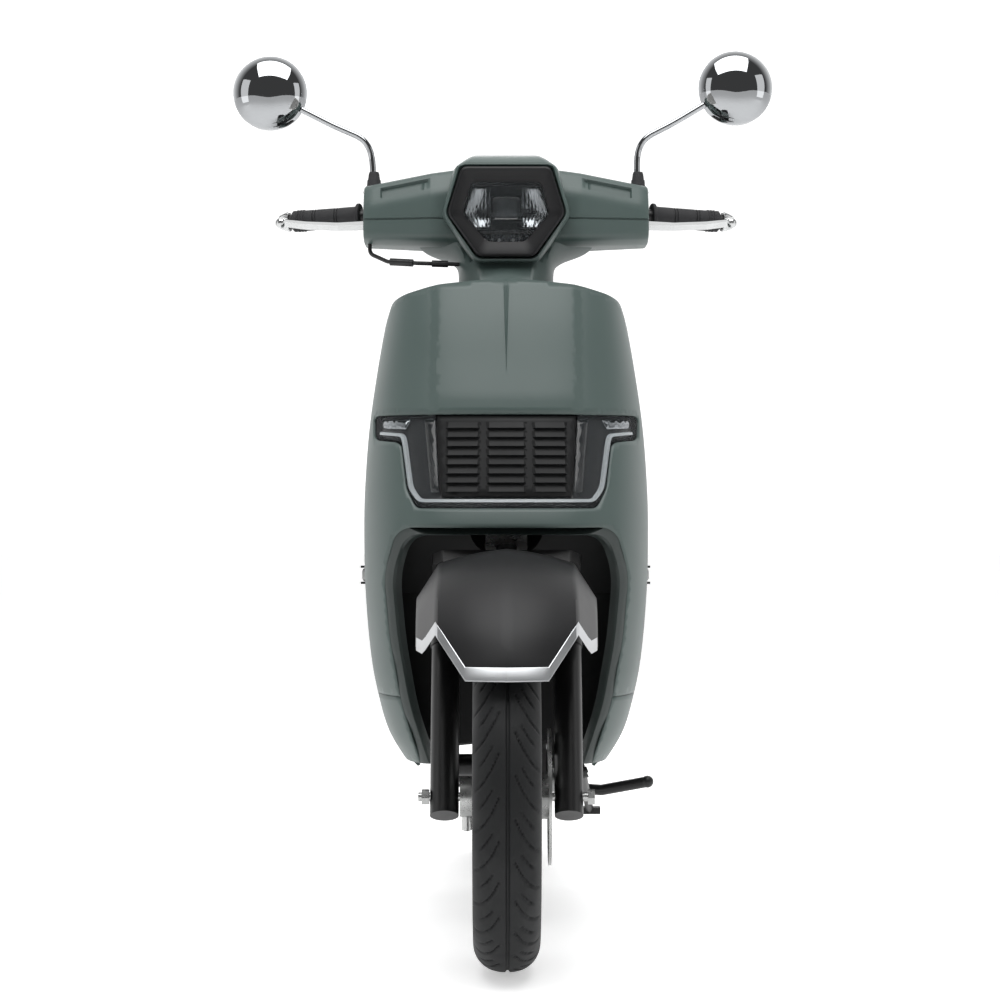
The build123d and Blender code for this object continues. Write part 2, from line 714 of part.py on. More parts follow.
def side_skirts():
    """The painted lower panels: a chin beside the wheel, and a run back along each floor edge."""
    chin = shield_form(0.0) - shield_form(wall, 5.0)
    chin -= front_prism(arch_outline(lip_width), 24)
    chin += arch_lip()
    chin &= block(-260, 260, -620, shield_back_y, skirt_low, split_z - gap / 2)
    heights = (298, 287, 262, 240, 242, 264, 287, 298)
    runs = [(shield_back_y - 8, (173, 168, 153, 131, 127, 148, 162, 167))]
    for y, x in ((-120, 180), (floor_rear_y, 182)):
        runs.append((y, (x, x - 2, x - 18, x - 40, x - 43, x - 21, x - 6, x - 4)))
    faces = []
    for y, across in runs:
        plane = Plane(origin=(0, y, 0), x_dir=(1, 0, 0), z_dir=(0, -1, 0))
        faces.append(plane * make_face(Polyline(*zip(across, heights), close=True)))
    rail = loft(faces, ruled=True)
    left = (chin & block(0, 300, -700, 0, 200, 400)) + rail
    return [left, mirrored(left)]


def floorboard():
    """The rider's floor, a flat tray with raised ribs."""
    low = floor_z - floor_thickness
    outline = [(150, floor_front_y), (172, -120), (174, floor_rear_y)]
    outline += [(-x, y) for x, y in reversed(outline)]
    board = extrude(Plane(origin=(0, 0, low)) * make_face(Polyline(*outline, close=True)), amount=floor_thickness)
    ribs = 9
    for i in range(ribs):
        x = -120 + 30 * i
        board += block(x - 5, x + 5, floor_front_y + 40, floor_rear_y - 40, floor_z - 1, floor_z + 3)
    return board


tail_sections = [  # y, half width, low, high
    (48, 128, 304, 736),
    (140, 158, 330, 738),
    (330, 174, 396, 740),
    (560, 166, 470, 740),
    (740, 132, 520, 738),
    (846, 84, 566, 736),
]


def tail_form(inset):
    """The rear body's whole outer form."""
    faces = []
    for i, (y, half, low, high) in enumerate(tail_sections):
        if i == 0:
            y += inset
        if i == len(tail_sections) - 1:
            y -= inset
        w, h = half - inset, (high - low) / 2 - inset
        mid = (high + low) / 2
        power = 3.2
        points = []
        count = 16
        for k in range(count):
            t = 2 * pi * k / count + pi / count
            c, s = cos(t), sin(t)
            x = w * abs(c) ** (2 / power) * (1 if c > 0 else -1)
            z = h * abs(s) ** (2 / power) * (1 if s > 0 else -1)
            points.append((x, mid + z))
        plane = Plane(origin=(0, y, 0), x_dir=(1, 0, 0), z_dir=(0, -1, 0))
        faces.append(plane * make_face(Spline(*points, periodic=True)))
    return loft(faces)


def under_seat_bucket():
    """The open storage bucket under the seat."""
    tub = side_prism([(110, 440), (400, 440), (470, 510), (470, 698), (110, 698)], -96, 96)
    tub = fillet(tub.edges().filter_by(Axis.Z), 30)
    rim_plate = block(-104, 104, 96, 486, 694, 698)
    back = 470 - wall
    inner = [(110 + wall, 440 + wall), (399, 440 + wall), (back, 511), (back, 720), (110 + wall, 720)]
    hollow = side_prism(inner, -96 + wall, 96 - wall)
    hollow = fillet(hollow.edges().filter_by(Axis.Z), 27)
    return tub + rim_plate - hollow


def fuel_tank():
    """A pressed steel tank behind the bucket, with its filler neck and cap."""
    tank = fillet(block(-64, 78, 492, 772, 574, 676).edges(), 14)
    tank += upright(24, 660, 692, 0, 560)
    return tank + upright(30, 690, 703, 0, 560)


def rear_mudguard():
    """The inner rear mudguard with the two stays that hold it to the frame."""
    outer = overall_length / 2 - rear_axle_y
    centre = tyre_radius + 28
    ring = along_x(outer, -64, 64, rear_axle_y, centre) - along_x(outer - wall, -70, 70, rear_axle_y, centre)
    keep = [(rear_axle_y - 60, 1000), (rear_axle_y - 60, centre + 200), (rear_axle_y + 200, centre + 50)]
    keep += [(1000, centre + 10), (1000, 1000)]
    ring &= side_prism(keep, -80, 80)
    stays = upright(6, 400, 700, -50, 786) + upright(6, 400, 700, 50, 786)
    stays -= along_x(outer - 1, -80, 80, rear_axle_y, centre)
    return ring + (stays & block(-80, 80, 700, 820, 400, 651.9))


def tail_lamp():
    """The tail lamp between the side panels."""
    lamp = block(-65, 65, 828, 856, 587, 678)
    return fillet(lamp.edges().filter_by(Axis.Y), 12)


def grab_rail():
    """A tubular handle round the back of the seat, with a small rack plate for a top case."""
    z = 750.0
    points = [(-134, 560, z - 10), (-134, 690, z), (-100, 806, z), (100, 806, z), (134, 690, z), (134, 560, z - 10)]
    rail = tube(points, 36, 9)
    for side in (-1, 1):
        rail += upright(8, 664, z, side * rack_strut_x, rack_strut_y)
    plate = block(-88, 88, rack_strut_y - 30, 806, z + 5, z + 11)
    plate = fillet(plate.edges().filter_by(Axis.Z), 8)
    for side in (-1, 1):
        for y in rack_hole_y:
            plate -= upright(rack_hole / 2, z, z + 20, side * rack_hole_x, y)
    return rail + plate


def seat():
    """The seat's base pan with its hinge knuckle, and the upholstered cushion."""
    base = fillet(block(-112, 112, 56, 724, seat_z, seat_z + 6).edges().filter_by(Axis.Z), 40)
    knuckle = along_x(7, -40, 40, hinge_y, hinge_z) + block(-40, 40, hinge_y, 62, hinge_z - 3, seat_z + 3)
    base += knuckle - along_x(3 + running, -45, 45, hinge_y, hinge_z)
    base -= along_x(3 + running, -45, 45, hinge_y, hinge_z)
    sections = [(54, 84, 764), (140, 108, 774), (300, 122, 778), (430, 124, 794), (600, 116, 806), (726, 78, 800)]
    faces = []
    for y, half, top in sections:
        low = seat_z + 6.3
        plane = Plane(origin=(0, y, 0), x_dir=(1, 0, 0), z_dir=(0, -1, 0))
        outline = [(-half, low), (half, low), (half, top - 22), (half - 26, top), (-half + 26, top), (-half, top - 22)]
        faces.append(plane * make_face(Polyline(*outline, close=True)))
    return base, loft(faces, ruled=True)


def ignition_barrel():
    """The key switch's turning barrel, with its grip bar."""
    x, y, z = lock_place
    barrel = Location((x, y, z), (90, 0, 0)) * Cylinder(13, 18)
    return barrel + block(x - 2, x + 2, y + 8, y + 24, z - 10, z + 10)


# ================================================================ frame
def main_frame():
    """The welded frame: head tube, down tube, floor rails, seat rails, cross tubes and brackets."""
    head = on_fork(upright(head_tube_radius, head_tube_low, head_tube_low + head_tube_length, 0, yoke_offset))
    down = tube([(0, -425, 690), (0, -338, 560), (0, -318, rail_z)], 80, 19)
    frame = head + down + along_x(16, -rail_x, rail_x, -318, rail_z)
    for side in (-1, 1):
        x, xr = side * rail_x, side * rear_rail_x
        points = [(x, -318, rail_z), (x, 138, rail_z), (xr, 214, 440), (xr, 330, 610), (side * 92, 786, 664)]
        frame += tube(points, 50, rail_radius)
        for y in (-200, 0):
            frame += upright(8, rail_z, floor_z - floor_thickness, x, y)
        frame += strap(((112, rail_z), (stand_y, stand_z)), (13, 13), *sorted((side * 88, side * 94)))
        frame += strap(((128, 258), (pivot_y, pivot_z)), (12, 20), *sorted((side * 62, side * 70)))
        frame += along_x(9, *sorted((side * 62, side * 100)), 128, 258)
        frame -= along_x(6 + running, *sorted((side * 80, side * 100)), stand_y, stand_z)
        frame -= along_x(6 + running, *sorted((side * 55, side * 78)), pivot_y, pivot_z)
        frame += along_x(9, *sorted((side * 110, side * 208)), peg_y, peg_z)
        frame += peg_bracket(side)
        frame += block(*sorted((side * 46, side * 51)), hinge_y - 8, 92, hinge_z - 8, hinge_z + 8)
        frame += along_x(6, *sorted((side * 46, side * 96)), 84, hinge_z - 3)
        frame += tube([(side * 96, 84, hinge_z - 3), (side * 96, 84, 480), (xr, 205, 440)], 20, 6)
        frame -= along_x(3 + running, *sorted((side * 40, side * 54)), hinge_y, hinge_z)
    frame += along_x(12, -rear_rail_x, rear_rail_x, 214, 424) + along_x(12, -92, 92, 786, 664)
    y, z = shock_top
    frame += side_prism([(y - 16, z - 14), (y + 16, z - 14), (y + 22, z + 50), (y - 22, z + 50)], 84, 90)
    frame += along_x(6, 84, 122, y, z)
    frame += side_stand_bracket()
    frame -= on_fork(upright(17.5, head_tube_low - 1, head_tube_low + head_tube_length + 1, 0, yoke_offset))
    return frame - grab_rail_sockets()


def side_stand_bracket():
    """The plate and pin that carry the side stand, and the strut to the floor rail."""
    pivot = Vector(*side_stand_pivot)
    lean = Vector(cos(radians(stand_cant)), 0, sin(radians(stand_cant)))
    pin = bar_between(pivot - lean * 20, pivot + lean * 9, 5)
    plate = bar_between(pivot - lean * 18, pivot - lean * 10, 14)
    strut = bar_between(pivot - lean * 15, (rail_x, side_stand_pivot[1], rail_z), 5.5)
    return pin + plate + strut


# ================================================================ stands and pegs
def side_stand():
    """The side stand, folded back: a leg with a pivot eye and a foot."""
    pivot = Vector(*side_stand_pivot)
    lean = Vector(cos(radians(stand_cant)), 0, sin(radians(stand_cant)))
    foot = pivot + Vector(0.085, 0.915, -0.39).normalized() * side_stand_length
    leg = bar_between(pivot, foot, 6.5) + bar_between(pivot - lean * 7, pivot + lean * 7, 12)
    leg += Location(foot) * Location((0, 4, 0)) * Box(34, 26, 11)
    return leg - bar_between(pivot - lean * 20, pivot + lean * 20, 5 + running)


def centre_stand():
    """The centre stand, folded: pivot tube, two legs with feet, a cross brace and the foot lever."""
    back = Vector(0, cos(radians(14)), -sin(radians(14)))
    stand = along_x(11, -84, 84, stand_y, stand_z)
    for side in (-1, 1):
        start = Vector(side * 72, stand_y, stand_z)
        foot = Vector(side * 112, stand_y, stand_z) + back * stand_length
        stand += bar_between(start, foot, 9.5) + Location(foot) * Sphere(12)
    middle = Vector(0, stand_y, stand_z) + back * (0.45 * stand_length)
    stand += along_x(7, -88, 88, middle.Y, middle.Z)
    stand += tube([(84, 204, 171), (112, 206, 160), (158, 190, 158), (230, 162, 174)], 14, 9)
    stand += Location((232, 161, 174.6)) * Sphere(10)
    return stand - along_x(6 + running, -100, 100, stand_y, stand_z)


def footpeg(side):
    """A passenger footpeg, folded back along the body."""
    x = side * 226
    peg = block(*sorted((x - 10, x + 10)), peg_y - 12, peg_y + 96, peg_z - 11, peg_z + 11)
    peg = fillet(peg.edges().filter_by(Axis.Y), 6)
    peg = fillet(peg.edges().filter_by(Axis.Z).group_by(Axis.Y)[0], 9)
    return peg - upright(4 + running, peg_z - 20, peg_z + 20, x, peg_y)


# ================================================================ engine unit
def engine_case():
    """The crankcase and gearbox casting, and the finned cylinder with its head."""
    case = strap(((crank_y, pivot_z), (rear_axle_y, tyre_radius)), (drive_front_radius, drive_rear_radius), 62, 84)
    case += along_x(62, -52, 62, crank_y, pivot_z) + along_x(17, -58, 58, pivot_y, pivot_z)
    case += block(-46, 46, pivot_y, crank_y - 30, pivot_z - 16, pivot_z + 16)
    y, z = shock_low
    lug = side_prism([(y - 30, 270), (y + 26, 270), (y + 13, z + 2), (y - 13, z + 2)], 74, 84)
    case += lug + along_x(13, 74, 84, y, z) + along_x(6, 74, 122, y, z)
    case += along_x(30, 56, 62, rear_axle_y, tyre_radius)
    case -= along_x(6 + running, -70, 70, pivot_y, pivot_z)
    case -= along_x(rear_shaft_radius + running, 40, 80, rear_axle_y, tyre_radius)
    cylinder = upright(34, 40, 132)
    for i in range(7):
        cylinder += upright(45, 66 + 9 * i, 70 + 9 * i)
    cylinder += Location((0, 0, 148)) * Box(72, 72, 34)
    lean = Location((0, crank_y, pivot_z + 14), (54, 0, 0))
    return case + lean * cylinder


def cvt_cover():
    """The belt drive's outer cover, a hollow bowl on the left."""
    centres = ((crank_y, pivot_z), (rear_axle_y, tyre_radius))
    bowl = strap(centres, (drive_front_radius, drive_rear_radius), 84.4, 134)
    bowl -= strap(centres, (drive_front_radius - 5, drive_rear_radius - 5), 83, 129)
    bowl -= along_x(15, 80, 130, shock_low[0], shock_low[1])
    return bowl


def belt_drive():
    """The crank pulley, the clutch pulley and the rubber belt round them."""
    front = along_x(50, 96, 104, crank_y, pivot_z) + along_x(50, 112, 120, crank_y, pivot_z)
    front += along_x(20, 86, 124, crank_y, pivot_z)
    rear = along_x(48, 96, 104, rear_axle_y, tyre_radius) + along_x(48, 112, 120, rear_axle_y, tyre_radius)
    rear += along_x(20, 86, 124, rear_axle_y, tyre_radius)
    centres = ((crank_y, pivot_z), (rear_axle_y, tyre_radius))
    belt = strap(centres, (33, 33), 104.5, 111.5) - strap(centres, (25, 25), 100, 115)
    return front, rear, belt


def exhaust():
    """The header pipe and silencer on the right."""
    pipe = tube([(-20, 254, 218), (-20, 246, 186), (-62, 300, 176), (-116, 372, 196), (-118, 424, 240)], 16, 13)
    pipe -= along_x(62, -60, 60, crank_y, pivot_z)
    silencer = fillet((Location((-118, 570, 262), (90, 0, 0)) * Cylinder(44, 300)).edges(), 14)
    tip = Location((-118, 730, 262), (90, 0, 0)) * Cylinder(14, 40)
    return pipe + silencer + tip


def shock_line(t):
    """A point on the rear shock's axis, t millimetres below its upper eye."""
    (y0, z0), (y1, z1) = shock_top, shock_low
    length = hypot(y1 - y0, z1 - z0)
    return Vector(shock_x, y0 + (y1 - y0) * t / length, z0 + (z1 - z0) * t / length)


def shock():
    """The rear damper's body, its rod, and the coil spring round both."""
    length = hypot(shock_low[0] - shock_top[0], shock_low[1] - shock_top[1])
    eye = along_x(13, shock_x - 7, shock_x + 7, *shock_top)
    body = eye + bar_between(shock_line(8), shock_line(132), 13) + bar_between(shock_line(26), shock_line(32), 27)
    body -= along_x(6 + running, shock_x - 30, shock_x + 30, *shock_top)
    body -= bar_between(shock_line(40), shock_line(140), 5 + running)
    rod = along_x(13, shock_x - 7, shock_x + 7, *shock_low)
    rod += bar_between(shock_line(108), shock_line(length - 8), 5)
    rod += bar_between(shock_line(length - 32), shock_line(length - 26), 27)
    rod -= along_x(8, shock_x - 30, shock_x + 30, *shock_low)
    top, low = 32.4, length - 32.4
    height = low - top - 2 * spring_wire
    axis = Plane(origin=shock_line(top + spring_wire), z_dir=shock_line(low) - shock_line(top))
    helix = Helix(height / spring_turns, height, spring_radius)
    section = Plane(origin=helix @ 0, z_dir=helix % 0) * Circle(spring_wire)
    coil = axis.location * sweep(section, path=helix, is_frenet=True)
    return body, rod, coil


# ================================================================ controls
def control_cables():
    """The throttle cable from the right arm of the cover to the neck, with its rubber boots."""
    cable = tube(cable_route, 12, 3)
    boots = bar_between((-172, -283, 988.7), (-138, -290.6, 986.4), 5.5)
    boots += bar_between((-110, -292, 985.4), (-86, -292, 984.7), 5)
    return cable + boots


def button(name, x, z):
    """A push button, or the turn signal's sliding switch, in the cover's rear face."""
    if name == "turn_switch":
        return block(x - 11, x + 11, -192, -176, z - 5, z + 5)
    cap = Location((x, -185, z), (90, 0, 0)) * Cylinder(8, 16)
    return fillet(cap.edges().group_by(Axis.Y)[-1], 1.5)


def guard_outer(x, inset):
    """One side profile of the front mudguard, taken in by inset, at this distance from the middle."""
    profiles = {
        0: [(-556, 564), (-610, 568), (-670, 563), (-730, 547), (-785, 516), (-832, 473), (-862, 431), (-880, 392)],
        93: [(-556, 545), (-610, 548), (-665, 542), (-720, 525), (-768, 496), (-808, 455), (-832, 415), (-845, 392)],
        123: [(-598, 498), (-616, 501), (-634, 499), (-652, 491), (-668, 478), (-682, 458), (-692, 430), (-698, 392)],
    }
    points = []
    for y, z in profiles[x]:
        dy, dz = guard_centre[0] - y, guard_centre[1] - z
        far = hypot(dy, dz)
        points.append((y + dy / far * inset, z + dz / far * inset))
    rear = points[0][0] + (12 if inset else 0)
    low = 392 - (12 if inset else 0)
    points[0] = (rear, points[0][1])
    points[-1] = (points[-1][0], low)
    return points + [(rear, low)]


def mudguard_solid(inset):
    """The front mudguard's solid form: a crown over the tyre with a wing over each fork leg."""
    faces = []
    for x in (-123, -93, 0, 93, 123):
        outline = guard_outer(abs(x), inset)
        station = x + (inset if x < 0 else -inset if x > 0 else 0)
        plane = Plane(origin=(station, 0, 0), x_dir=(0, 1, 0), z_dir=(1, 0, 0))
        faces.append(plane * make_face(Polyline(*outline, close=True)))
    return loft(faces, ruled=True)


def bar_ends():
    """The cone-shaped weights in the bar's ends."""
    ends = []
    for side in (-1, 1):
        a = grip_at(side, grip_end + 4)
        b = grip_at(side, grip_end + 4 + bar_end_length)
        plane = Plane(origin=a, z_dir=(b - a).normalized())
        middle = Location((0, 0, bar_end_length / 2))
        ends.append(plane.location * middle * Cone(grip_radius - 1, 9, bar_end_length))
    return ends


def dash_place():
    """Where the instruments sit, facing up and back."""
    return Location((0, -192, 1122), (-28, 0, 0))


def mirror_ball(side, lift):
    """The centre of the ball joint between a stem and its head."""
    turn = Location((side * mirror_x, mirror_y, mirror_base), (0, -side * lift, 0))
    return (turn * Location((side * 110, -5.2, 141.5))).position


def stem_cone(side, lift):
    """The room that a head leaves round its stem, so that it can tilt."""
    turn = Location((side * mirror_x, mirror_y, mirror_base), (0, -side * lift, 0))
    near, far = Vector(side * 110, -5.2, 141.5), Vector(side * 84, -4.5, 126.3)
    plane = Plane(origin=(near + far) / 2, z_dir=far - near)
    return turn * plane.location * Cone(6, 17, (far - near).length)


def arch_lip():
    """The return lip inside the edge of the wheel arch."""
    band = shield_form(wall - 1.0) - shield_form(lip_depth, 5.0)
    band &= front_prism(arch_outline(lip_width + 1.5), 24)
    return band - front_prism(arch_outline(0.0), 20)


def rear_panels():
    """The painted left and right panels under the seat."""
    top = seat_z - 4
    under = [(30, 200), (30, 318), (110, 352), (180, 392), (330, 432), (560, 500), (740, 548), (900, 590), (900, 200)]
    room = block(gap / 2, 300, 0, 900, 200, top) - side_prism(under, -300, 300)
    half = (tail_form(0.0) & room) - tail_form(wall)
    half += tail_form(wall - 1.0) & block(gap / 2, 200, 736, 900, top - 3, top)
    half -= block(-66, 66, 835, 900, 585, 680)
    half -= block(-60, 60, 30, 70, hinge_z - 14, top + 1)
    half -= along_x(11, 100, 230, peg_y, peg_z)
    half -= upright(10.5, 650, 760, rack_strut_x, rack_strut_y)
    for y, z in ((160, 352), (186, 386)):
        half -= bar_between((rear_rail_x + 4, y - 14, z - 30), (rear_rail_x + 4, y + 14, z + 30), rail_radius + 4)
    return [half, mirrored(half)]


def pivot_bolts():
    """The bolts and pins that the stand, the engine and the seat turn on."""
    stand = along_x(6, -98, 98, stand_y, stand_z)
    engine = along_x(6, -76, 76, pivot_y, pivot_z)
    seat_pin = along_x(3, -52, 52, hinge_y, hinge_z)
    return [stand, engine, seat_pin]


def grab_rail_sockets():
    """The holes in the rear cross tube that the grab rail's struts stand in."""
    holes = upright(8.02, 663.9, 760, rack_strut_x, rack_strut_y)
    return holes + mirrored(holes)


def peg_bracket(side):
    """The two ears and the pin that a passenger footpeg folds on, and the strut to the seat rail."""
    x0, x1 = sorted((side * 200, side * 238))
    ears = block(x0, x1, peg_y - 10, peg_y + 10, peg_z + 11.5, peg_z + 15)
    ears += block(x0, x1, peg_y - 10, peg_y + 10, peg_z - 15, peg_z - 11.5)
    inner = sorted((side * 200, side * 208))
    ears += block(*inner, peg_y - 10, peg_y + 10, peg_z - 13, peg_z + 13)
    strut = bar_between((side * rear_rail_x, 256, 501), (side * rear_rail_x, peg_y - 4, peg_z), 9)
    return ears + strut + upright(4, peg_z - 15, peg_z + 15, side * 226, peg_y)


def rear_wheel():
    """The rear wheel with its drum hub and the shaft that enters the gearbox."""
    wheel = rim(rear_tyre_width, rear_axle_y, 46, 44, 0)
    return wheel + along_x(rear_shaft_radius, -50, 76, rear_axle_y, tyre_radius)


def build():
    """Makes every node."""
    add("main_frame", main_frame())
    add("headset_bearings", *headset_bearings())
    add("pivot_bolts", *pivot_bolts())
    add("front_tyre", tyre(front_tyre_width, front_axle_y))
    add("front_rim", rim(front_tyre_width, front_axle_y, 34, front_hub_half, front_axle_radius + running))
    add("brake_disc", brake_disc())
    add("fork_yoke", *fork_yoke())
    add("fork_sliders", fork_slider(-1), fork_slider(1))
    add("front_axle", *front_axle())
    add("brake_caliper", brake_caliper())
    add("front_mudguard", front_mudguard())
    add("handlebar", handlebar(), *bar_ends(), lever_perch(-1), lever_perch(1))
    add("left_grip", grip(1, 0.02))
    add("throttle_grip", grip(-1, running))
    add("brake_lever_left", brake_lever(1))
    add("brake_lever_right", brake_lever(-1))
    front, rear = handlebar_covers()
    add("handlebar_cover_front", front)
    add("handlebar_cover_rear", rear)
    bezel, lens = headlamp()
    add("headlamp_bezel", bezel)
    add("headlamp_lens", lens)
    add("instrument_panel", instrument_panel())
    add("control_cables", control_cables())
    for name, x, z in buttons:
        add(name, button(name, x, z))
    for side, name, lift in ((1, "left", mirror_lift), (-1, "right", -mirror_lift)):
        add(f"mirror_stem_{name}", mirror_stem(side, lift))
        add(f"mirror_head_{name}", mirror_head(side, lift))
        add(f"footpeg_{name}", footpeg(side))
    add("leg_shield", leg_shield())
    lamp, grille = front_lamp_and_grille()
    add("front_lamp", lamp)
    add("front_grille", grille)
    add("inner_leg_shield", inner_leg_shield())
    add("wheel_arch_liner", wheel_arch_liner())
    add("side_skirts", *side_skirts())
    add("floorboard", floorboard())
    add("rear_panels", *rear_panels())
    add("under_seat_bucket", under_seat_bucket())
    add("fuel_tank", fuel_tank())
    add("rear_mudguard", rear_mudguard())
    add("tail_lamp", tail_lamp())
    add("grab_rail", grab_rail())
    base, cushion = seat()
    add("seat_base", base)
    add("seat_cushion", cushion)
    add("ignition_barrel", ignition_barrel())
    add("side_stand", side_stand())
    add("centre_stand", centre_stand())
    add("engine_case", engine_case())
    add("cvt_cover", cvt_cover())
    front, rear, belt = belt_drive()
    add("crank_pulley", front)
    add("clutch_pulley", rear)
    add("drive_belt", belt)
    add("exhaust", exhaust())
    add("rear_tyre", tyre(rear_tyre_width, rear_axle_y))
    add("rear_rim", rear_wheel())
    body, rod, coil = shock()
    add("shock_body", body)
    add("shock_rod", rod)
    add("shock_spring", coil)


if __name__ == "__main__":
    import time

    began = time.time()
    build()
    os.makedirs("parts", exist_ok=True)
    for name, shape in parts.items():
        export_step(shape, f"parts/{name}.step")
    print(len(parts), "nodes", round(time.time() - began, 1), "s")
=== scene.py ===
from math import acos, atan2, ceil, cos, exp, hypot, pi, radians, sin

import bmesh
import bpy
from mathutils import Matrix, Vector, geometry
from mathutils.kdtree import KDTree


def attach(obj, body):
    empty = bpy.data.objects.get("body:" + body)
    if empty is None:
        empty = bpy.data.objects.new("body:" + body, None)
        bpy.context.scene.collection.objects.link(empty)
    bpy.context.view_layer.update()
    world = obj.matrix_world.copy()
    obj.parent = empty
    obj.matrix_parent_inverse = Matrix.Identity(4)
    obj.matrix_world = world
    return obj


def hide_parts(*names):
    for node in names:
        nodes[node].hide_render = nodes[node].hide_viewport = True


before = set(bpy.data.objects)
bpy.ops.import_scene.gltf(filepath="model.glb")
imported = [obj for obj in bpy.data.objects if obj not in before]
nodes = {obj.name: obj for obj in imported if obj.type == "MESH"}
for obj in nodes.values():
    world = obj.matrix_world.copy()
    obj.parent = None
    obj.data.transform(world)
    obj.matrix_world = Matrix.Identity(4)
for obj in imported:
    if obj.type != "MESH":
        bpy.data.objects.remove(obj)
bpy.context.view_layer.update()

mm = 0.001

# A step-through scooter in matt grey-green. Sizes are in millimetres here and turned to metres when a
# mesh is made. It faces -Y, and its left side is +X.

# the scooter's main sizes, the same as the CAD part's
bike = {
    "frontAxleY": -681.0,
    "rearAxleY": 609.0,
    "wheelRadius": 234.0,
    "rake": 26.5,
    "yokeOffset": 234 * sin(radians(26.5)) - 85 * cos(radians(26.5)),
    "panelWall": 3.0,
}
forkPlace = Matrix.Translation((0, bike["frontAxleY"], bike["wheelRadius"])) @ Matrix.Rotation(
    radians(-bike["rake"]), 4, "X"
)


# mesh tools
def placedMesh(name, points, faces, material, body, slotName, stands=(), sharp=35.0, thick=0.0):
    # points in mm; thick adds a wall inwards
    mesh = bpy.data.meshes.new(name)
    mesh.from_pydata([tuple(c * mm for c in p) for p in points], [], faces)
    work = bmesh.new()
    work.from_mesh(mesh)
    bmesh.ops.remove_doubles(work, verts=work.verts, dist=0.00001)
    bmesh.ops.recalc_face_normals(work, faces=work.faces)
    work.to_mesh(mesh)
    work.free()
    return placedObject(name, mesh, material, body, stands, sharp, thick)


def placedObject(name, mesh, material, body, stands=(), sharp=35.0, thick=0.0):
    mesh.materials.clear()
    mesh.materials.append(material)
    mesh.polygons.foreach_set("use_smooth", [True] * len(mesh.polygons))
    mesh.set_sharp_from_angle(angle=radians(sharp))
    piece = bpy.data.objects.new(name, mesh)
    bpy.context.scene.collection.objects.link(piece)
    if thick:
        wall = piece.modifiers.new("wall", "SOLIDIFY")
        wall.thickness = thick * mm
        wall.offset = -1
    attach(piece, body)
    if stands:
        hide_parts(*stands)
    return piece


def joined(*shapes):
    # several (points, faces) as one
    points, faces = [], []
    for some, sides in shapes:
        first = len(points)
        points += [tuple(p) for p in some]
        faces += [tuple(i + first for i in f) for f in sides]
    return points, faces


def moved(shape, place):
    points, faces = shape
    return [tuple(place @ Vector(p)) for p in points], faces


def mirrored(shape):
    points, faces = shape
    return [(-x, y, z) for x, y, z in points], [tuple(reversed(f)) for f in faces]


def skin(rings, closed=True, capStart=True, capEnd=True):
    # quads between rings that have the same number of points
    size = len(rings[0])
    points = [tuple(p) for ring in rings for p in ring]
    faces = []
    for i in range(len(rings) - 1):
        for k in range(size if closed else size - 1):
            n = (k + 1) % size
            faces.append((i * size + k, i * size + n, (i + 1) * size + n, (i + 1) * size + k))
    if closed and capStart:
        faces.append(tuple(range(size)))
    if closed and capEnd:
        faces.append(tuple((len(rings) - 1) * size + k for k in reversed(range(size))))
    return points, faces


def turned(profile, steps=48):
    # a profile of (radius, height) spun round Z
    rings = []
    for radius, height in profile:
        r = max(radius, 0.0005)
        rings.append([(r * cos(2 * pi * k / steps), r * sin(2 * pi * k / steps), height)
            for k in range(steps)])
    return skin(rings)


def aimed(start, towards):
    # a place whose Z runs from start to towards
    start, towards = Vector(start), Vector(towards)
    return Matrix.Translation(start) @ (towards - start).to_track_quat("Z", "Y").to_matrix().to_4x4()


def curved(points, each=8):
    # a smooth line through the points
    points = [Vector(p) for p in points]
    ends = [2 * points[0] - points[1]] + points + [2 * points[-1] - points[-2]]
    line = []
    for i in range(1, len(ends) - 2):
        a, b, c, d = ends[i - 1 : i + 3]
        for k in range(each):
            t = k / each
            line.append(0.5 * (2 * b + (c - a) * t + (2 * a - 5 * b + 4 * c - d) * t * t
                + (3 * b - 3 * c + d - a) * t ** 3))
    line.append(points[-1])
    return line


def hose(line, radius, steps=12):
    # a round tube along a line; radius is a number or one for each point
    line = [Vector(p) for p in line]
    radii = radius if isinstance(radius, (list, tuple)) else [radius] * len(line)
    across = None
    rings = []
    for i, p in enumerate(line):
        ahead = (line[min(i + 1, len(line) - 1)] - line[max(i - 1, 0)]).normalized()
        across = (across or ahead.orthogonal())
        across = (across - ahead * across.dot(ahead)).normalized()
        other = ahead.cross(across)
        turn = [2 * pi * k / steps for k in range(steps)]
        rings.append([p + (across * cos(a) + other * sin(a)) * radii[i] for a in turn])
    return skin(rings)


def slab(x0, x1, y0, y1, z0, z1, edge=1.0):
    # a box with chamfered edges
    rings = []
    for z, inset in ((z0, edge), (z0 + edge, 0), (z1 - edge, 0), (z1, edge)):
        a, b, c, d = x0 + inset, x1 - inset, y0 + inset, y1 - inset
        e = edge
        rings.append([(a + e, c, z), (b - e, c, z), (b, c + e, z), (b, d - e, z), (b - e, d, z),
            (a + e, d, z), (a, d - e, z), (a, c + e, z)])
    return skin(rings)


def rounded(points, radius, steps=5, closed=True):
    # a 2D outline with its corners rounded, always with the same number of points a corner
    made = []
    count = len(points)
    for i, p in enumerate(points):
        p = Vector(p)
        if not closed and i in (0, count - 1):
            made += [p.copy() for k in range(steps + 1)]
            continue
        before, after = Vector(points[i - 1]), Vector(points[(i + 1) % count])
        near = min(radius, (before - p).length * 0.45, (after - p).length * 0.45)
        a, b = p + (before - p).normalized() * near, p + (after - p).normalized() * near
        for k in range(steps + 1):
            t = k / steps
            made.append(a * (1 - t) ** 2 + p * 2 * t * (1 - t) + b * t * t)
    return made


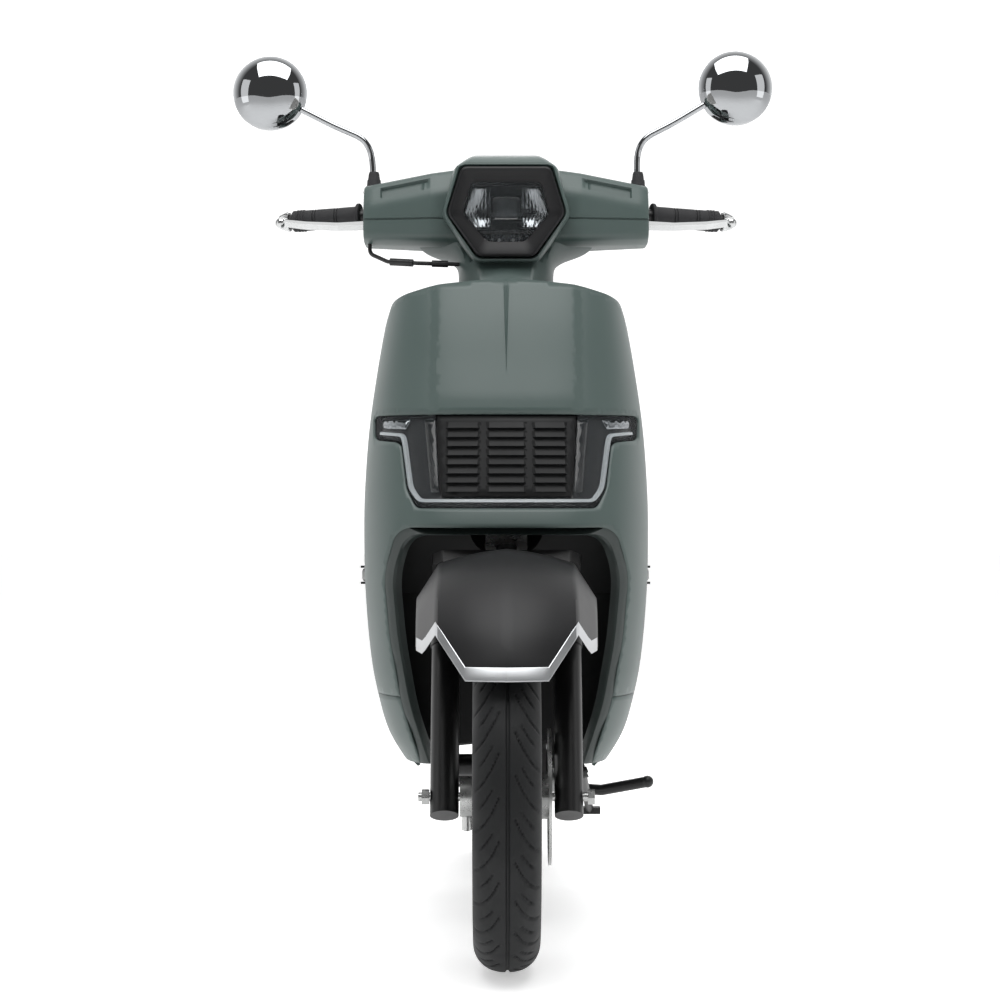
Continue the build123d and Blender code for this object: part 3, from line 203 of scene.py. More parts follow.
def spaced(points, step, closed=True):
    # the same outline with points no further apart than step
    made = []
    count = len(points)
    for i in range(count if closed else count - 1):
        a, b = Vector(points[i]), Vector(points[(i + 1) % count])
        parts = max(1, ceil((b - a).length / step))
        made += [a.lerp(b, k / parts) for k in range(parts)]
    if not closed:
        made.append(Vector(points[-1]))
    return made


def inside(p, loop):
    x, y = p
    within = False
    for i in range(len(loop)):
        (ax, ay), (bx, by) = loop[i - 1], loop[i]
        if (ay > y) != (by > y) and x < (bx - ax) * (y - ay) / (by - ay) + ax:
            within = not within
    return within


def filled(outline, holes=(), lines=(), step=9.0):
    # triangles that fill a 2D outline, with holes left out and lines kept as edges
    points, edges = [], []
    for loop, closed in [(outline, True)] + [(h, True) for h in holes] + [(line, False) for line in lines]:
        first = len(points)
        points += [tuple(p) for p in loop]
        last = len(points) - 1
        edges += [(i, i + 1) for i in range(first, last)]
        if closed:
            edges.append((last, first))
    tree = KDTree(len(points))
    for i, (x, y) in enumerate(points):
        tree.insert((x, y, 0), i)
    tree.balance()
    xs, ys = [p[0] for p in outline], [p[1] for p in outline]
    row = 0
    y = min(ys) + step / 2
    while y < max(ys):
        x = min(xs) + step / 2 + (row % 2) * step / 2
        while x < max(xs):
            clear = tree.find((x, y, 0))[2] > step * 0.55
            if clear and inside((x, y), outline) and not any(inside((x, y), h) for h in holes):
                points.append((x, y))
            x += step
        y += step * 0.87
        row += 1
    made = geometry.delaunay_2d_cdt([Vector(p) for p in points], edges, [], 0, 1e-5)
    corners, triangles = made[0], made[2]
    kept = []
    for face in triangles:
        middle = sum((corners[i] for i in face), Vector((0, 0))) / len(face)
        if inside(middle, outline) and not any(inside(middle, h) for h in holes):
            kept.append(tuple(face))
    return [tuple(c) for c in corners], kept


def copies(name, unit, places, material, body, stands=(), sharp=35.0):
    # one small mesh repeated by a Geometry Nodes tree, at places of (point, turn, size)
    points, faces = unit
    seed = bpy.data.meshes.new(name + "Unit")
    seed.from_pydata([tuple(c * mm for c in p) for p in points], [], faces)
    work = bmesh.new()
    work.from_mesh(seed)
    bmesh.ops.remove_doubles(work, verts=work.verts, dist=0.000005)
    bmesh.ops.recalc_face_normals(work, faces=work.faces)
    work.to_mesh(seed)
    work.free()
    source = bpy.data.objects.new(name + "Unit", seed)
    bpy.context.scene.collection.objects.link(source)
    host = bpy.data.meshes.new(name)
    host.from_pydata([tuple(c * mm for c in p) for p, turn, size in places], [], [])
    for key, values in (("turn", [t for p, t, s in places]), ("size", [s for p, t, s in places])):
        stored = host.attributes.new(key, "FLOAT_VECTOR", "POINT")
        stored.data.foreach_set("vector", [c for v in values for c in v])
    holder = bpy.data.objects.new(name + "Host", host)
    bpy.context.scene.collection.objects.link(holder)
    tree = bpy.data.node_groups.new(name + "Copies", "GeometryNodeTree")
    tree.interface.new_socket("Geometry", in_out="INPUT", socket_type="NodeSocketGeometry")
    unitSocket = tree.interface.new_socket("Unit", in_out="INPUT", socket_type="NodeSocketObject")
    finishSocket = tree.interface.new_socket("Finish", in_out="INPUT", socket_type="NodeSocketMaterial")
    tree.interface.new_socket("Geometry", in_out="OUTPUT", socket_type="NodeSocketGeometry")
    entry = addNode(tree, "NodeGroupInput")
    points = addNode(tree, "GeometryNodeMeshToPoints", {}, {"Mesh": entry.outputs["Geometry"]})
    info = addNode(tree, "GeometryNodeObjectInfo", {}, {"Object": entry.outputs["Unit"]})
    turn = addNode(tree, "GeometryNodeInputNamedAttribute", {"data_type": "FLOAT_VECTOR", "Name": "turn"})
    size = addNode(tree, "GeometryNodeInputNamedAttribute", {"data_type": "FLOAT_VECTOR", "Name": "size"})
    placed = addNode(tree, "GeometryNodeInstanceOnPoints", {}, {
        "Points": points.outputs[0], "Instance": info.outputs["Geometry"],
        "Rotation": turn.outputs[0], "Scale": size.outputs[0],
    })
    real = addNode(tree, "GeometryNodeRealizeInstances", {}, {0: placed.outputs[0]})
    dressed = addNode(tree, "GeometryNodeSetMaterial", {},
        {"Geometry": real.outputs[0], "Material": entry.outputs["Finish"]})
    addNode(tree, "NodeGroupOutput", {}, {"Geometry": dressed.outputs[0]})
    modifier = holder.modifiers.new("copies", "NODES")
    modifier.node_group = tree
    modifier[unitSocket.identifier] = source
    modifier[finishSocket.identifier] = material
    graph = bpy.context.evaluated_depsgraph_get()
    mesh = bpy.data.meshes.new_from_object(holder.evaluated_get(graph))
    mesh.name = name
    holder.modifiers.remove(modifier)
    bpy.data.objects.remove(holder)
    bpy.data.objects.remove(source)
    return placedObject(name, mesh, material, body, stands, sharp)


# materials
def linear(code):
    # an sRGB hex colour as linear RGBA
    values = [int(code[i : i + 2], 16) / 255 for i in (0, 2, 4)]
    return tuple(v / 12.92 if v <= 0.04045 else ((v + 0.055) / 1.055) ** 2.4 for v in values) + (1.0,)


def addNode(tree, kind, settings=None, links=None):
    made = tree.nodes.new(kind)
    for key, value in (settings or {}).items():
        if isinstance(key, str) and hasattr(made, key):
            setattr(made, key, value)
        else:
            made.inputs[key].default_value = value
    for key, source in (links or {}).items():
        tree.links.new(source, made.inputs[key])
    return made


def finish(name, colour, roughness, metallic=0.0, grain=0.5, relief=0.01, blotch=120.0, shade=0.06,
        spread=0.06, stretch=(1, 1, 1), coat=0.0, extra=None):
    # grain: size of the fine texture in mm; relief: its height in mm; blotch: size of the slow colour
    # change in mm
    material = bpy.data.materials.new(name)
    material.use_nodes = True
    tree = material.node_tree
    tree.nodes.clear()
    place = addNode(tree, "ShaderNodeTexCoord")
    scaled = addNode(tree, "ShaderNodeMapping", {"Scale": stretch}, {"Vector": place.outputs["Object"]})
    fine = addNode(tree, "ShaderNodeTexNoise", {"Scale": 1000 / grain, "Detail": 3.0},
        {"Vector": scaled.outputs[0]})
    slow = addNode(tree, "ShaderNodeTexNoise", {"Scale": 1000 / blotch, "Detail": 4.0},
        {"Vector": scaled.outputs[0]})
    tone = linear(colour)
    dark = tuple(c * (1 - shade) for c in tone[:3]) + (1.0,)
    pale = tuple(min(1, c * (1 + shade) + 0.002 * shade) for c in tone[:3]) + (1.0,)
    mixed = addNode(tree, "ShaderNodeMix", {"data_type": "RGBA"}, {0: slow.outputs["Fac"]})
    mixed.inputs[6].default_value, mixed.inputs[7].default_value = dark, pale
    rough = addNode(tree, "ShaderNodeMapRange", {
        "From Min": 0.3, "From Max": 0.7, "To Min": max(0.0, roughness - spread),
        "To Max": min(1.0, roughness + spread),
    }, {"Value": slow.outputs["Fac"]})
    bump = addNode(tree, "ShaderNodeBump", {"Strength": 1.0, "Distance": relief * mm},
        {"Height": fine.outputs["Fac"]})
    shader = addNode(tree, "ShaderNodeBsdfPrincipled",
        {"Metallic": metallic, "Coat Weight": coat, "Coat Roughness": 0.08}, {
        "Base Color": mixed.outputs[2], "Roughness": rough.outputs[0], "Normal": bump.outputs[0],
    })
    for key, value in (extra or {}).items():
        shader.inputs[key].default_value = value
    addNode(tree, "ShaderNodeOutputMaterial", {}, {"Surface": shader.outputs[0]})
    return material


# matt two-pack paint on ABS panels: a soft broad sheen with a very fine orange peel
sagePaint = finish("mattSagePaintOnAbs", "465451", 0.44, grain=0.9, relief=0.004, shade=0.03, spread=0.03,
    coat=0.0)
# the arch lip is the same paint, its colour darkened as painted shade because the lip sits half in shadow
lipPaintedShade = finish("mattSagePaintPaintedShade", "27302e", 0.45, grain=0.9, relief=0.004, shade=0.04)
# moulded polypropylene with a leather-like grain, which breaks up the highlight
grainedPlastic = finish("grainedPolypropylene", "0f1011", 0.6, grain=0.8, relief=0.03, shade=0.08,
                 extra={"Specular IOR Level": 0.28})
# satin black ABS: smooth, with a wide soft highlight
satinPlastic = finish("satinBlackAbs", "121214", 0.42, grain=1.2, relief=0.003, shade=0.05, spread=0.03,
                 extra={"Specular IOR Level": 0.28})
# polished black ABS: sharp reflections
glossPlastic = finish("polishedBlackAbs", "0b0b0c", 0.12, grain=1.5, relief=0.001, shade=0.05, spread=0.03,
    coat=0.4, extra={"Specular IOR Level": 0.28})
# bright chrome plate: a mirror with a faint waviness
chromePlate = finish("brightChromePlate", "a4a6a8", 0.035, 1.0, grain=30, relief=0.002, shade=0.02,
    spread=0.015)
# flat glass, silvered behind
mirrorGlass = finish("silveredGlass", "a9b0b4", 0.01, 1.0, grain=60, relief=0.0005, shade=0.01,
    spread=0.005)
# brushed aluminium: fine streaks along X that stretch the highlight
brushedTrim = finish("brushedAluminium", "b9bbbd", 0.3, 1.0, grain=0.5, relief=0.006, shade=0.08,
    stretch=(0.02, 1, 1))
# die-cast aluminium, polished on a wheel: bright with soft blotches
polishedCast = finish("polishedCastAluminium", "c2c3c3", 0.2, 1.0, grain=2, relief=0.01, blotch=18,
    shade=0.12)
# shot-blasted cast aluminium: grey and grainy
blastedCast = finish("blastedCastAluminium", "9b9c9c", 0.5, 0.9, grain=0.7, relief=0.03, blotch=30,
    shade=0.1)
# zinc-plated steel: pale, slightly cloudy
zincSteel = finish("zincPlatedSteel", "b6b7b6", 0.3, 0.9, grain=0.6, relief=0.006, blotch=14, shade=0.12)
# electrophoretic black paint on welded steel
blackPaint = finish("blackPaintedSteel", "0c0c0d", 0.38, 0.0, grain=1.4, relief=0.01, blotch=60, shade=0.12)
# a cast wheel in satin black powder coat
wheelPaint = finish("powderCoatedWheel", "0e0f10", 0.42, 0.0, grain=0.9, relief=0.012, blotch=60, shade=0.1)
# moulded grip rubber: matt, with a faint bloom
gripRubber = finish("mouldedGripRubber", "232325", 0.72, grain=0.6, relief=0.02, blotch=25, shade=0.15)
# cable covers of soft PVC
softVinyl = finish("softPvc", "1a1a1b", 0.45, grain=0.8, relief=0.008, blotch=30, shade=0.1)
# heat-proof black on the exhaust
heatPaint = finish("heatProofPaint", "191919", 0.55, 0.2, grain=0.5, relief=0.02, blotch=40, shade=0.18)
# the LED light guide, lit only by the room: milky white
lightGuide = finish("milkyLightGuide", "aab0b3", 0.25, grain=1, relief=0.001, shade=0.02)
# vacuum-metallised plastic inside a lamp
lampMirror = finish("metallisedReflector", "8b8f92", 0.12, 1.0, grain=5, relief=0.004, shade=0.05)
# red acrylic over a diffuser
redAcrylic = finish("redAcrylic", "6e0a0c", 0.12, grain=5, relief=0.002, shade=0.05, coat=0.6)
# vinyl seat cover with a pebble grain about 1.2 mm across
seatVinyl = finish("grainedSeatVinyl", "221d1a", 0.52, grain=1.2, relief=0.06, blotch=70, shade=0.12)
# tyre rubber: matt, dusty black, paler where the mould release has dried
tyreRubber = finish("tyreRubber", "1a1b1c", 0.66, grain=0.7, relief=0.02, blotch=35, shade=0.16,
    spread=0.08, extra={"Specular IOR Level": 0.28})


def clear(name, colour, roughness):
    # clear moulded polycarbonate: see-through, with the gloss of its skin
    material = bpy.data.materials.new(name)
    material.use_nodes = True
    tree = material.node_tree
    tree.nodes.clear()
    place = addNode(tree, "ShaderNodeTexCoord")
    wave = addNode(tree, "ShaderNodeTexNoise", {"Scale": 25.0, "Detail": 1.0},
        {"Vector": place.outputs["Object"]})
    bump = addNode(tree, "ShaderNodeBump", {"Strength": 1.0, "Distance": 0.000004},
        {"Height": wave.outputs["Fac"]})
    shader = addNode(tree, "ShaderNodeBsdfPrincipled", {
        "Base Color": linear(colour), "Roughness": roughness, "IOR": 1.45, "Alpha": 0.05,
        "Specular IOR Level": 0.6,
    }, {"Normal": bump.outputs[0]})
    addNode(tree, "ShaderNodeOutputMaterial", {}, {"Surface": shader.outputs[0]})
    return material


clearLens = clear("clearPolycarbonate", "7d8386", 0.04)

# every CAD node that stays gets the finish of the real piece
nodeFinish = {
    blackPaint: ("main_frame", "fork_yoke", "fork_sliders", "side_stand", "centre_stand", "grab_rail",
    "shock_spring", "handlebar", "fuel_tank"),
    zincSteel: ("headset_bearings", "pivot_bolts", "front_axle", "brake_disc", "shock_rod", "crank_pulley",
                "clutch_pulley", "ignition_barrel"),
    blastedCast: ("brake_caliper", "engine_case", "cvt_cover", "footpeg_left", "footpeg_right"),
    satinPlastic: ("front_mudguard",), glossPlastic: ("headlamp_bezel", "instrument_panel"),
    grainedPlastic: ("inner_leg_shield", "wheel_arch_liner", "floorboard", "under_seat_bucket",
    "rear_mudguard", "seat_base", "horn_button", "turn_switch", "starter_button", "front_grille"),
    sagePaint: ("leg_shield", "side_skirts", "rear_panels", "handlebar_cover_front",
    "handlebar_cover_rear"),
    chromePlate: ("mirror_stem_left", "mirror_stem_right", "mirror_head_left", "mirror_head_right"),
    polishedCast: ("brake_lever_left", "brake_lever_right"),
    gripRubber: ("left_grip", "throttle_grip"), softVinyl: ("control_cables", "drive_belt"),
    tyreRubber: ("front_tyre", "rear_tyre"), wheelPaint: ("front_rim", "rear_rim"),
    clearLens: ("headlamp_lens", "front_lamp"), redAcrylic: ("tail_lamp",),
    heatPaint: ("exhaust", "shock_body"), seatVinyl: ("seat_cushion",),
}
for material, names in nodeFinish.items():
    for name in names:
        node = nodes[name]
        if not node.material_slots:
            node.data.materials.append(material)
        for place in node.material_slots:
            place.material = material
print("materials done")

# leg shield: one curved surface that the apron, the lamp and the grille all follow
shield = {
    "sections": [  # height, half width, front
        (975, 160, -383), (900, 177, -425), (820, 191, -463), (738, 202, -503), (650, 208, -545),
        (588, 209, -572),
        (500, 207, -562), (400, 198, -540), (340, 186, -515), (297, 173, -492), (262, 153, -471),
        (240, 136, -457), ],
    "power": 2.9,
    "backY": -275.0,
    "panelHalf": 101.0,  # the raised middle panel
    "panelRise": 4.2,
    "spineHalf": 4.6,
    "spineLow": 813.0,
    "spineLength": 142.0,
    "lipWidth": 11.0,
    "archCorner": 26.0,
    "spineRise": 3.4,
    "lampTop": 756.0,
}


def shieldAt(z):
    # half width and front of the shield at a height
    rows = shield["sections"]
    i = 0
    while i < len(rows) - 2 and z < rows[i + 1][0]:
        i += 1
    t = (rows[i][0] - z) / (rows[i][0] - rows[i + 1][0])
    made = []
    for k in (1, 2):
        b, c = rows[i][k], rows[i + 1][k]
        span = rows[i][0] - rows[i + 1][0]
        before = (c - rows[i - 1][k]) / (rows[i - 1][0] - rows[i + 1][0]) * span if i else c - b
        after = (rows[i + 2][k] - b) / (rows[i][0] - rows[i + 2][0]) * span if i < len(rows) - 2 else c - b
        made.append((2 * t**3 - 3 * t * t + 1) * b + (t**3 - 2 * t * t + t) * before
            + (3 * t * t - 2 * t**3) * c + (t**3 - t * t) * after)
    return made


unroll = 340.0  # length of half the shield's girth, to the nearest useful number


def toFlat(x, z):
    # a point seen from the front, unrolled round the shield
    half = shieldAt(z)[0]
    share = min(1.0, abs(x) / half)
    turn = acos(share ** (shield["power"] / 2))
    return ((1 - turn / (pi / 2)) * unroll * (1 if x >= 0 else -1), z)


def onShield(u, z, depth=0.0):
    # the unrolled point back on the surface, and depth mm behind it
    half, front = shieldAt(z)
    turn = (1 - min(1.0, abs(u) / unroll)) * pi / 2
    side = 1 if u >= 0 else -1
    power = 2 / shield["power"]
    x = (half - depth) * max(cos(turn), 0.0) ** power * side
    y = shield["backY"] - (shield["backY"] - front - depth) * max(sin(turn), 0.0) ** power
    return x, y, z


def smoothStep(low, high, value):
    t = min(1.0, max(0.0, (value - low) / (high - low)))
    return t * t * (3 - 2 * t)


def apronRise(x, z):
    # how far the middle panel and its spine stand proud
    panel = shield["panelRise"] * (1 - smoothStep(shield["panelHalf"], shield["panelHalf"] + 4, abs(x)))
    panel *= smoothStep(shield["lampTop"] - 4, shield["lampTop"] + 30, z) if z < 800 else 1
    half = shield["spineHalf"] * max(0.0, (z - shield["spineLow"]) / shield["spineLength"])
    if half > 0.2:
        panel += shield["spineRise"] * min(1, half / 2) * max(0.0, 1 - abs(x) / half)
    return panel


def archLine(grow, low=200.0):
    # the wheel arch's opening, from low on the left, over the top, to low on the right
    w = 163.0 + grow
    half = [(w - 20, 586 + grow), (w, 530), (w - 8, 440), (w - 24, 345), (w - 50, 258)]
    if low < 258:
        half.append((w - 50 - (258 - low) * 0.24, low))
    return [(x, z) for x, z in reversed(half)] + [(-x, z) for x, z in half]


def bothSides(half):
    return half + [(-x, z) for x, z in reversed(half)]


def lampLine(grow):
    wing = [(192 + grow, shield["lampTop"] + grow), (190 + grow, 722 - grow), (150 + grow, 717 - grow)]
    return bothSides(wing + [(141 + grow, 650), (126 + grow, 624 - grow)])


def grilleLine(grow):
    return bothSides([(100 + grow, shield["lampTop"] + grow), (92 + grow, 640 - grow)])


def clipped(line, low):
    # the arch's line cut off at a height
    made = []
    for i, p in enumerate(line):
        if i and (line[i - 1][1] > low) != (p[1] > low):
            a, b = line[i - 1], p
            t = (low - a[1]) / (b[1] - a[1])
            made.append((a[0] + (b[0] - a[0]) * t, low))
        if p[1] > low:
            made.append(tuple(p))
    return made


def archEdge(low):
    # the panels' edge along the arch's lip, unrolled, down to a height
    curve = rounded(archLine(shield["lipWidth"]), shield["archCorner"], 8, closed=False)
    return [toFlat(x, z) for x, z in spaced(clipped([tuple(p) for p in curve], low), 6, closed=False)]


def flatLoop(points, step=6.0, corner=0.0):
    loop = rounded(points, corner) if corner else points
    return [toFlat(x, z) for x, z in spaced(loop, step)]


def shieldPanel(outline, holes=(), lines=(), depth=0.0, rise=None, step=9.0):
    corners, triangles = filled(outline, holes, lines, step)
    points = []
    for u, z in corners:
        x, y, z = onShield(u, z, depth)
        points.append((x, y - (rise(x, z) if rise else 0.0), z))
    return points, triangles


def edgeColumn(u, high, low, step=8.0):
    count = ceil((high - low) / step)
    return [(u, high + (low - high) * k / count) for k in range(count + 1)]


splitZ = 355.3
topHalf = [(0, 957), (103, 947), (150, 934), (167, 925), (175, 901)]
topEdge = [(-x, z) for x, z in reversed(topHalf[1:])] + topHalf
apronTop = [toFlat(x, z) for x, z in spaced(rounded(topEdge, 14, closed=False), 6, closed=False)]
archInner = archEdge(splitZ)
leftFoot, rightFoot = archInner[0], archInner[-1]
outline = apronTop + edgeColumn(unroll, 880, splitZ)
outline += [(unroll - (unroll - leftFoot[0]) * k / 12, splitZ) for k in range(1, 12)]
outline += archInner
outline += [(rightFoot[0] - (unroll + rightFoot[0]) * k / 12, splitZ) for k in range(1, 12)]
outline += list(reversed(edgeColumn(-unroll, 880, splitZ)))
lampHole = flatLoop(lampLine(0.8), corner=9)
creases = []
for x in (-106, -100, 100, 106):
    creases.append([toFlat(x, z) for z in range(762, 940, 8)])
for share in (-3.4, -1.8, -1, 0, 1, 1.8, 3.4):
    crease = []
    for z in range(818, 950, 6):
        half = shield["spineHalf"] * (z - shield["spineLow"]) / shield["spineLength"]
        crease.append(toFlat(share * max(0.6, half), z))
    creases.append(crease)
placedMesh("apron", *shieldPanel(outline, [lampHole], creases, rise=apronRise), sagePaint, "root",
    "sage_paint", ("leg_shield",), 28, bike["panelWall"])
print("apron done")

# the lower panels: a chin each side of the wheel and a run back under the floor
chinLow = 256.0
chinTop = splitZ - 1.0
leftArch = [p for p in archEdge(chinLow) if p[0] > 0 and p[1] <= chinTop]
chinOutline = edgeColumn(unroll, chinTop, chinLow)
chinOutline += [(unroll - (unroll - leftArch[0][0]) * k / 10, chinLow) for k in range(1, 10)]
chinOutline += leftArch
nearTop = leftArch[-1]
chinOutline += [(nearTop[0] + (unroll - nearTop[0]) * k / 10, chinTop) for k in range(0, 10)]
chin = shieldPanel(chinOutline, step=9)
heights = (298, 287, 262, 240, 242, 264, 287, 298)
runs = [(-283, (173, 168, 153, 131, 127, 148, 162, 167))]
for y, x in ((-120, 180), (44, 182)):
    runs.append((y, (x, x - 2, x - 18, x - 40, x - 43, x - 21, x - 6, x - 4)))
rail = skin([[(x, y, z) for x, z in zip(across, heights)] for y, across in runs])
placedMesh("chinPanels", *joined(chin, mirrored(chin)), sagePaint, "root", "sage_paint", ("side_skirts",),
    28, bike["panelWall"])
placedMesh("floorSidePanels", *joined(rail, mirrored(rail)), sagePaint, "root", "sage_paint", (), 28)

# the rolled lip round the wheel arch
lipRows = [(11.6, 0.6), (9.0, 0.4), (5.0, 1.4), (1.6, 3.6), (0.2, 7.0), (0.0, 17.0), (2.0, 17.0),
    (3.4, 7.0), (11.0, 3.6)]
rings = []
base = [rounded(archLine(grow, chinLow), shield["archCorner"] - grow, 8, closed=False) for grow,
    depth in lipRows]
for i in range(len(base[0])):
    rings.append([onShield(*toFlat(*base[k][i]), lipRows[k][1]) for k in range(len(lipRows))])
# the lip takes the sage paint darkened: painted shade
placedMesh("archLip", *skin(rings), lipPaintedShade, "root", "sage_paint", (), 30)
print("arch done")

# front lamp: a clear U with two wings, a milky light guide and a dark housing
frontLamp = {"guide": 2.5, "housingDepth": 9.0}
lensOuter = flatLoop(lampLine(-0.4), corner=8)
lensInner = flatLoop(grilleLine(1.6), corner=4)
placedMesh("frontLampLens", *shieldPanel(lensOuter, [lensInner], depth=0.4, step=5), clearLens, "root",
    "clear_lens", ("front_lamp",), 30, 2.0)
housing = flatLoop(lampLine(-2.0), corner=8)
grillePanel = flatLoop(grilleLine(0.6), corner=3)
placedMesh("frontLampHousing", *shieldPanel(housing, [grillePanel], depth=frontLamp["housingDepth"],
    step=6), satinPlastic, "root", "gloss_black", (), 30, 3.0)


def strip(line, half, depth, rise):
    # a raised bar along a line on the shield
    rings = []
    for i, p in enumerate(line):
        a, b = Vector(line[max(i - 1, 0)]), Vector(line[min(i + 1, len(line) - 1)])
        across = Vector((-(b - a).y, (b - a).x)).normalized() * half
        ring = []
        for share, level in ((-1, depth), (-0.8, depth - rise), (0.8, depth - rise), (1, depth)):
            x, z = p[0] + across.x * share, p[1] + across.y * share
            ring.append(onShield(*toFlat(x, z), level))
        rings.append(ring)
    return skin(rings)


lightPath = [(186, 731), (152, 727), (149, 716), (139, 652), (126, 634), (0, 634)]
lightPath += [(-x, z) for x, z in reversed(lightPath[:-1])]
lightPath = [tuple(p) for p in spaced(rounded(lightPath, 7, 4, closed=False), 6, closed=False)]
lightPath = [p for i, p in enumerate(lightPath)
    if i == 0 or (Vector(p) - Vector(lightPath[i - 1])).length > 0.5]
placedMesh("lightGuides", *strip(lightPath, frontLamp["guide"], 8.6, 4.5), lightGuide, "root", "clear_lens",
    (), 30)
wings = []
for side in (-1, 1):
    top = [(side * 184, 750), (side * 184, 738), (side * 148, 736), (side * 140, 750)]
    if side < 0:
        top.reverse()
    wings.append(shieldPanel(flatLoop(top, corner=2), depth=6.0, step=8))
    bar = [(side * 102, 750), (side * 96, 646), (side * 108, 646), (side * 118, 750)]
    if side < 0:
        bar.reverse()
    wings.append(shieldPanel(flatLoop(bar, corner=2), depth=3.4, step=8))
placedMesh("wingReflectors", *joined(wings[0], wings[2]), lampMirror, "root", "clear_lens", (), 30, 2.0)
placedMesh("lampDividers", *joined(wings[1], wings[3]), glossPlastic, "root", "gloss_black", (), 30, 2.0)

# grille: a matt panel with eight rows of pressed louvres
grille = {"rows": 8, "pitch": 12.9, "lengths": (50, 58, 50), "middles": (-62, 0, 62), "height": 9.5,
    "rise": 6.5}
grilleBack = flatLoop(grilleLine(0.0), corner=3)
placedMesh("grillePanel", *shieldPanel(grilleBack, depth=3.0, step=9), grainedPlastic, "root",
    "black_plastic", ("front_grille",), 30, 3.0)
hood = []
for x, low, high, out in ((-0.5, -0.5, 0.5, 0.0), (-0.42, -0.42, 0.42, 1.0), (0.42, -0.42, 0.42, 1.0),
        (0.5, -0.5, 0.5, 0.0)):
    hood.append([(x, 0.25, high * 1.0), (x, -out, low), (x, -out * 0.75, low - 0.08),
        (x, 0.25, low - 0.08)])
places = []
for row in range(grille["rows"]):
    z = shield["lampTop"] - 15 - grille["pitch"] * row
    for x, length in zip(grille["middles"], grille["lengths"]):
        point = onShield(*toFlat(x, z), 3.0)
        aside = onShield(*toFlat(x + 4, z), 3.0)
        turn = atan2(aside[1] - point[1], aside[0] - point[0])
        places.append((point, (0.0, 0.0, turn), (length, grille["rise"], grille["height"])))
unitHood = skin(hood)
unitHood = ([(x * 1000, y * 1000, z * 1000) for x, y, z in unitHood[0]], unitHood[1])
places = [(p, t, (s[0] * mm, s[1] * mm, s[2] * mm)) for p, t, s in places]
copies("grilleLouvres", unitHood, places, grainedPlastic, "root")
print("lamp and grille done")

# front mudguard: satin black crown with two wings, and its brushed trim
guard = {
    "profiles": {
        0: [(-556, 564), (-610, 568), (-670, 563), (-730, 547), (-785, 516), (-832, 473), (-862, 431),
        (-880, 392)],
        93: [(-556, 545), (-610, 548), (-665, 542), (-720, 525), (-768, 496), (-808, 455), (-832, 415),
        (-845, 392)],
        123: [(-598, 498), (-616, 501), (-634, 499), (-652, 491), (-668, 478), (-682, 458), (-692, 430),
        (-698, 392)], },
    "trimHeight": 18.0,
    "trimRise": 2.4,
}


def guardLine(x):
    # the crown's side profile at a distance from the middle, softly arched between the creases
    x = abs(x)
    a, b = (0, 93) if x <= 93 else (93, 123)
    t = (x - a) / (b - a)
    line = [Vector(p).lerp(Vector(q), t) for p, q in zip(guard["profiles"][a], guard["profiles"][b])]
    if x < 93:
        line = [p + Vector((-1, 1)) * 3.0 * sin(pi * t) for p in line]
    return curved([(0, p.x, p.y) for p in line], 6)


def guardPoint(x, z, out=0.0):
    # the crown's front surface at a height
    line = guardLine(x)
    best = line[-1]
    for p, q in zip(line, line[1:]):
        if (p.z - z) * (q.z - z) <= 0 and p.y < -620:
            best = p.lerp(q, (p.z - z) / (p.z - q.z) if p.z != q.z else 0)
    return (x, best.y - out, z)


def trimLow(x):
    # the height of the crown's lower front edge
    x = abs(x)
    for (xa, za), (xb, zb) in (((0, 404), (54, 404)), ((54, 404), (94, 461)), ((94, 461), (112, 433)),
            ((112, 433), (123, 436))):
        if x <= xb:
            return za + (zb - za) * (x - xa) / (xb - xa)
    return 436.0


stations = [-123, -119, -113, -107, -101, -97, -94, -91, -87, -80, -70, -62, -56, -50, -40, -30, -20, -10]
stations = stations + [0] + [-x for x in reversed(stations)]
columns = []
for x in stations:
    line = [(x, p.y, p.z) for p in guardLine(x)]
    low = trimLow(x) + 1.0
    kept = [p for p in line if p[2] > low or p[1] > -640]
    kept.append(guardPoint(x, low))
    lengths = [0.0]
    for p, q in zip(kept, kept[1:]):
        lengths.append(lengths[-1] + (Vector(q) - Vector(p)).length)
    even = []
    for k in range(41):
        target = lengths[-1] * k / 40
        i = max(1, next((n for n, d in enumerate(lengths) if d >= target - 1e-6), len(lengths) - 1))
        t = (target - lengths[i - 1]) / max(1e-6, lengths[i] - lengths[i - 1])
        even.append(tuple(Vector(kept[i - 1]).lerp(Vector(kept[i]), t)))
    columns.append(even)
crown = skin(columns, closed=False)
sideWalls = []
for side in (1, -1):
    edge = columns[-1] if side > 0 else columns[0]
    base = [(side * 122, max(p[1], -598), max(p[2] - 46, trimLow(123) + 1)) for p in edge]
    sideWalls.append(skin([edge, base], closed=False))
placedMesh("frontMudguard", *joined(crown, *sideWalls), satinPlastic, "steering", "black_plastic",
    ("front_mudguard",), 24, 2.6)

trimX = [-122, -118, -113, -108, -102, -97, -94, -91, -84, -76, -66, -58, -54, -48, -36, -24, -12, 0]
trimX = trimX + [-x for x in reversed(trimX[:-1])]
rings = []
for x in trimX:
    low = trimLow(x) - 3.0
    lift = guard["trimHeight"] * (1.0 if abs(x) < 90 else 0.95)
    ring = []
    for share, out in ((0.0, -1.5), (0.0, guard["trimRise"]), (0.08, guard["trimRise"] + 0.7),
            (0.92, guard["trimRise"] + 0.7), (1.0, guard["trimRise"]), (1.0, -1.5)):
        z = low + lift * share
        ring.append(guardPoint(x, z, out))
    rings.append(ring)
placedMesh("mudguardTrim", *skin(rings), brushedTrim, "steering", "steel", (), 24)
print("mudguard done")

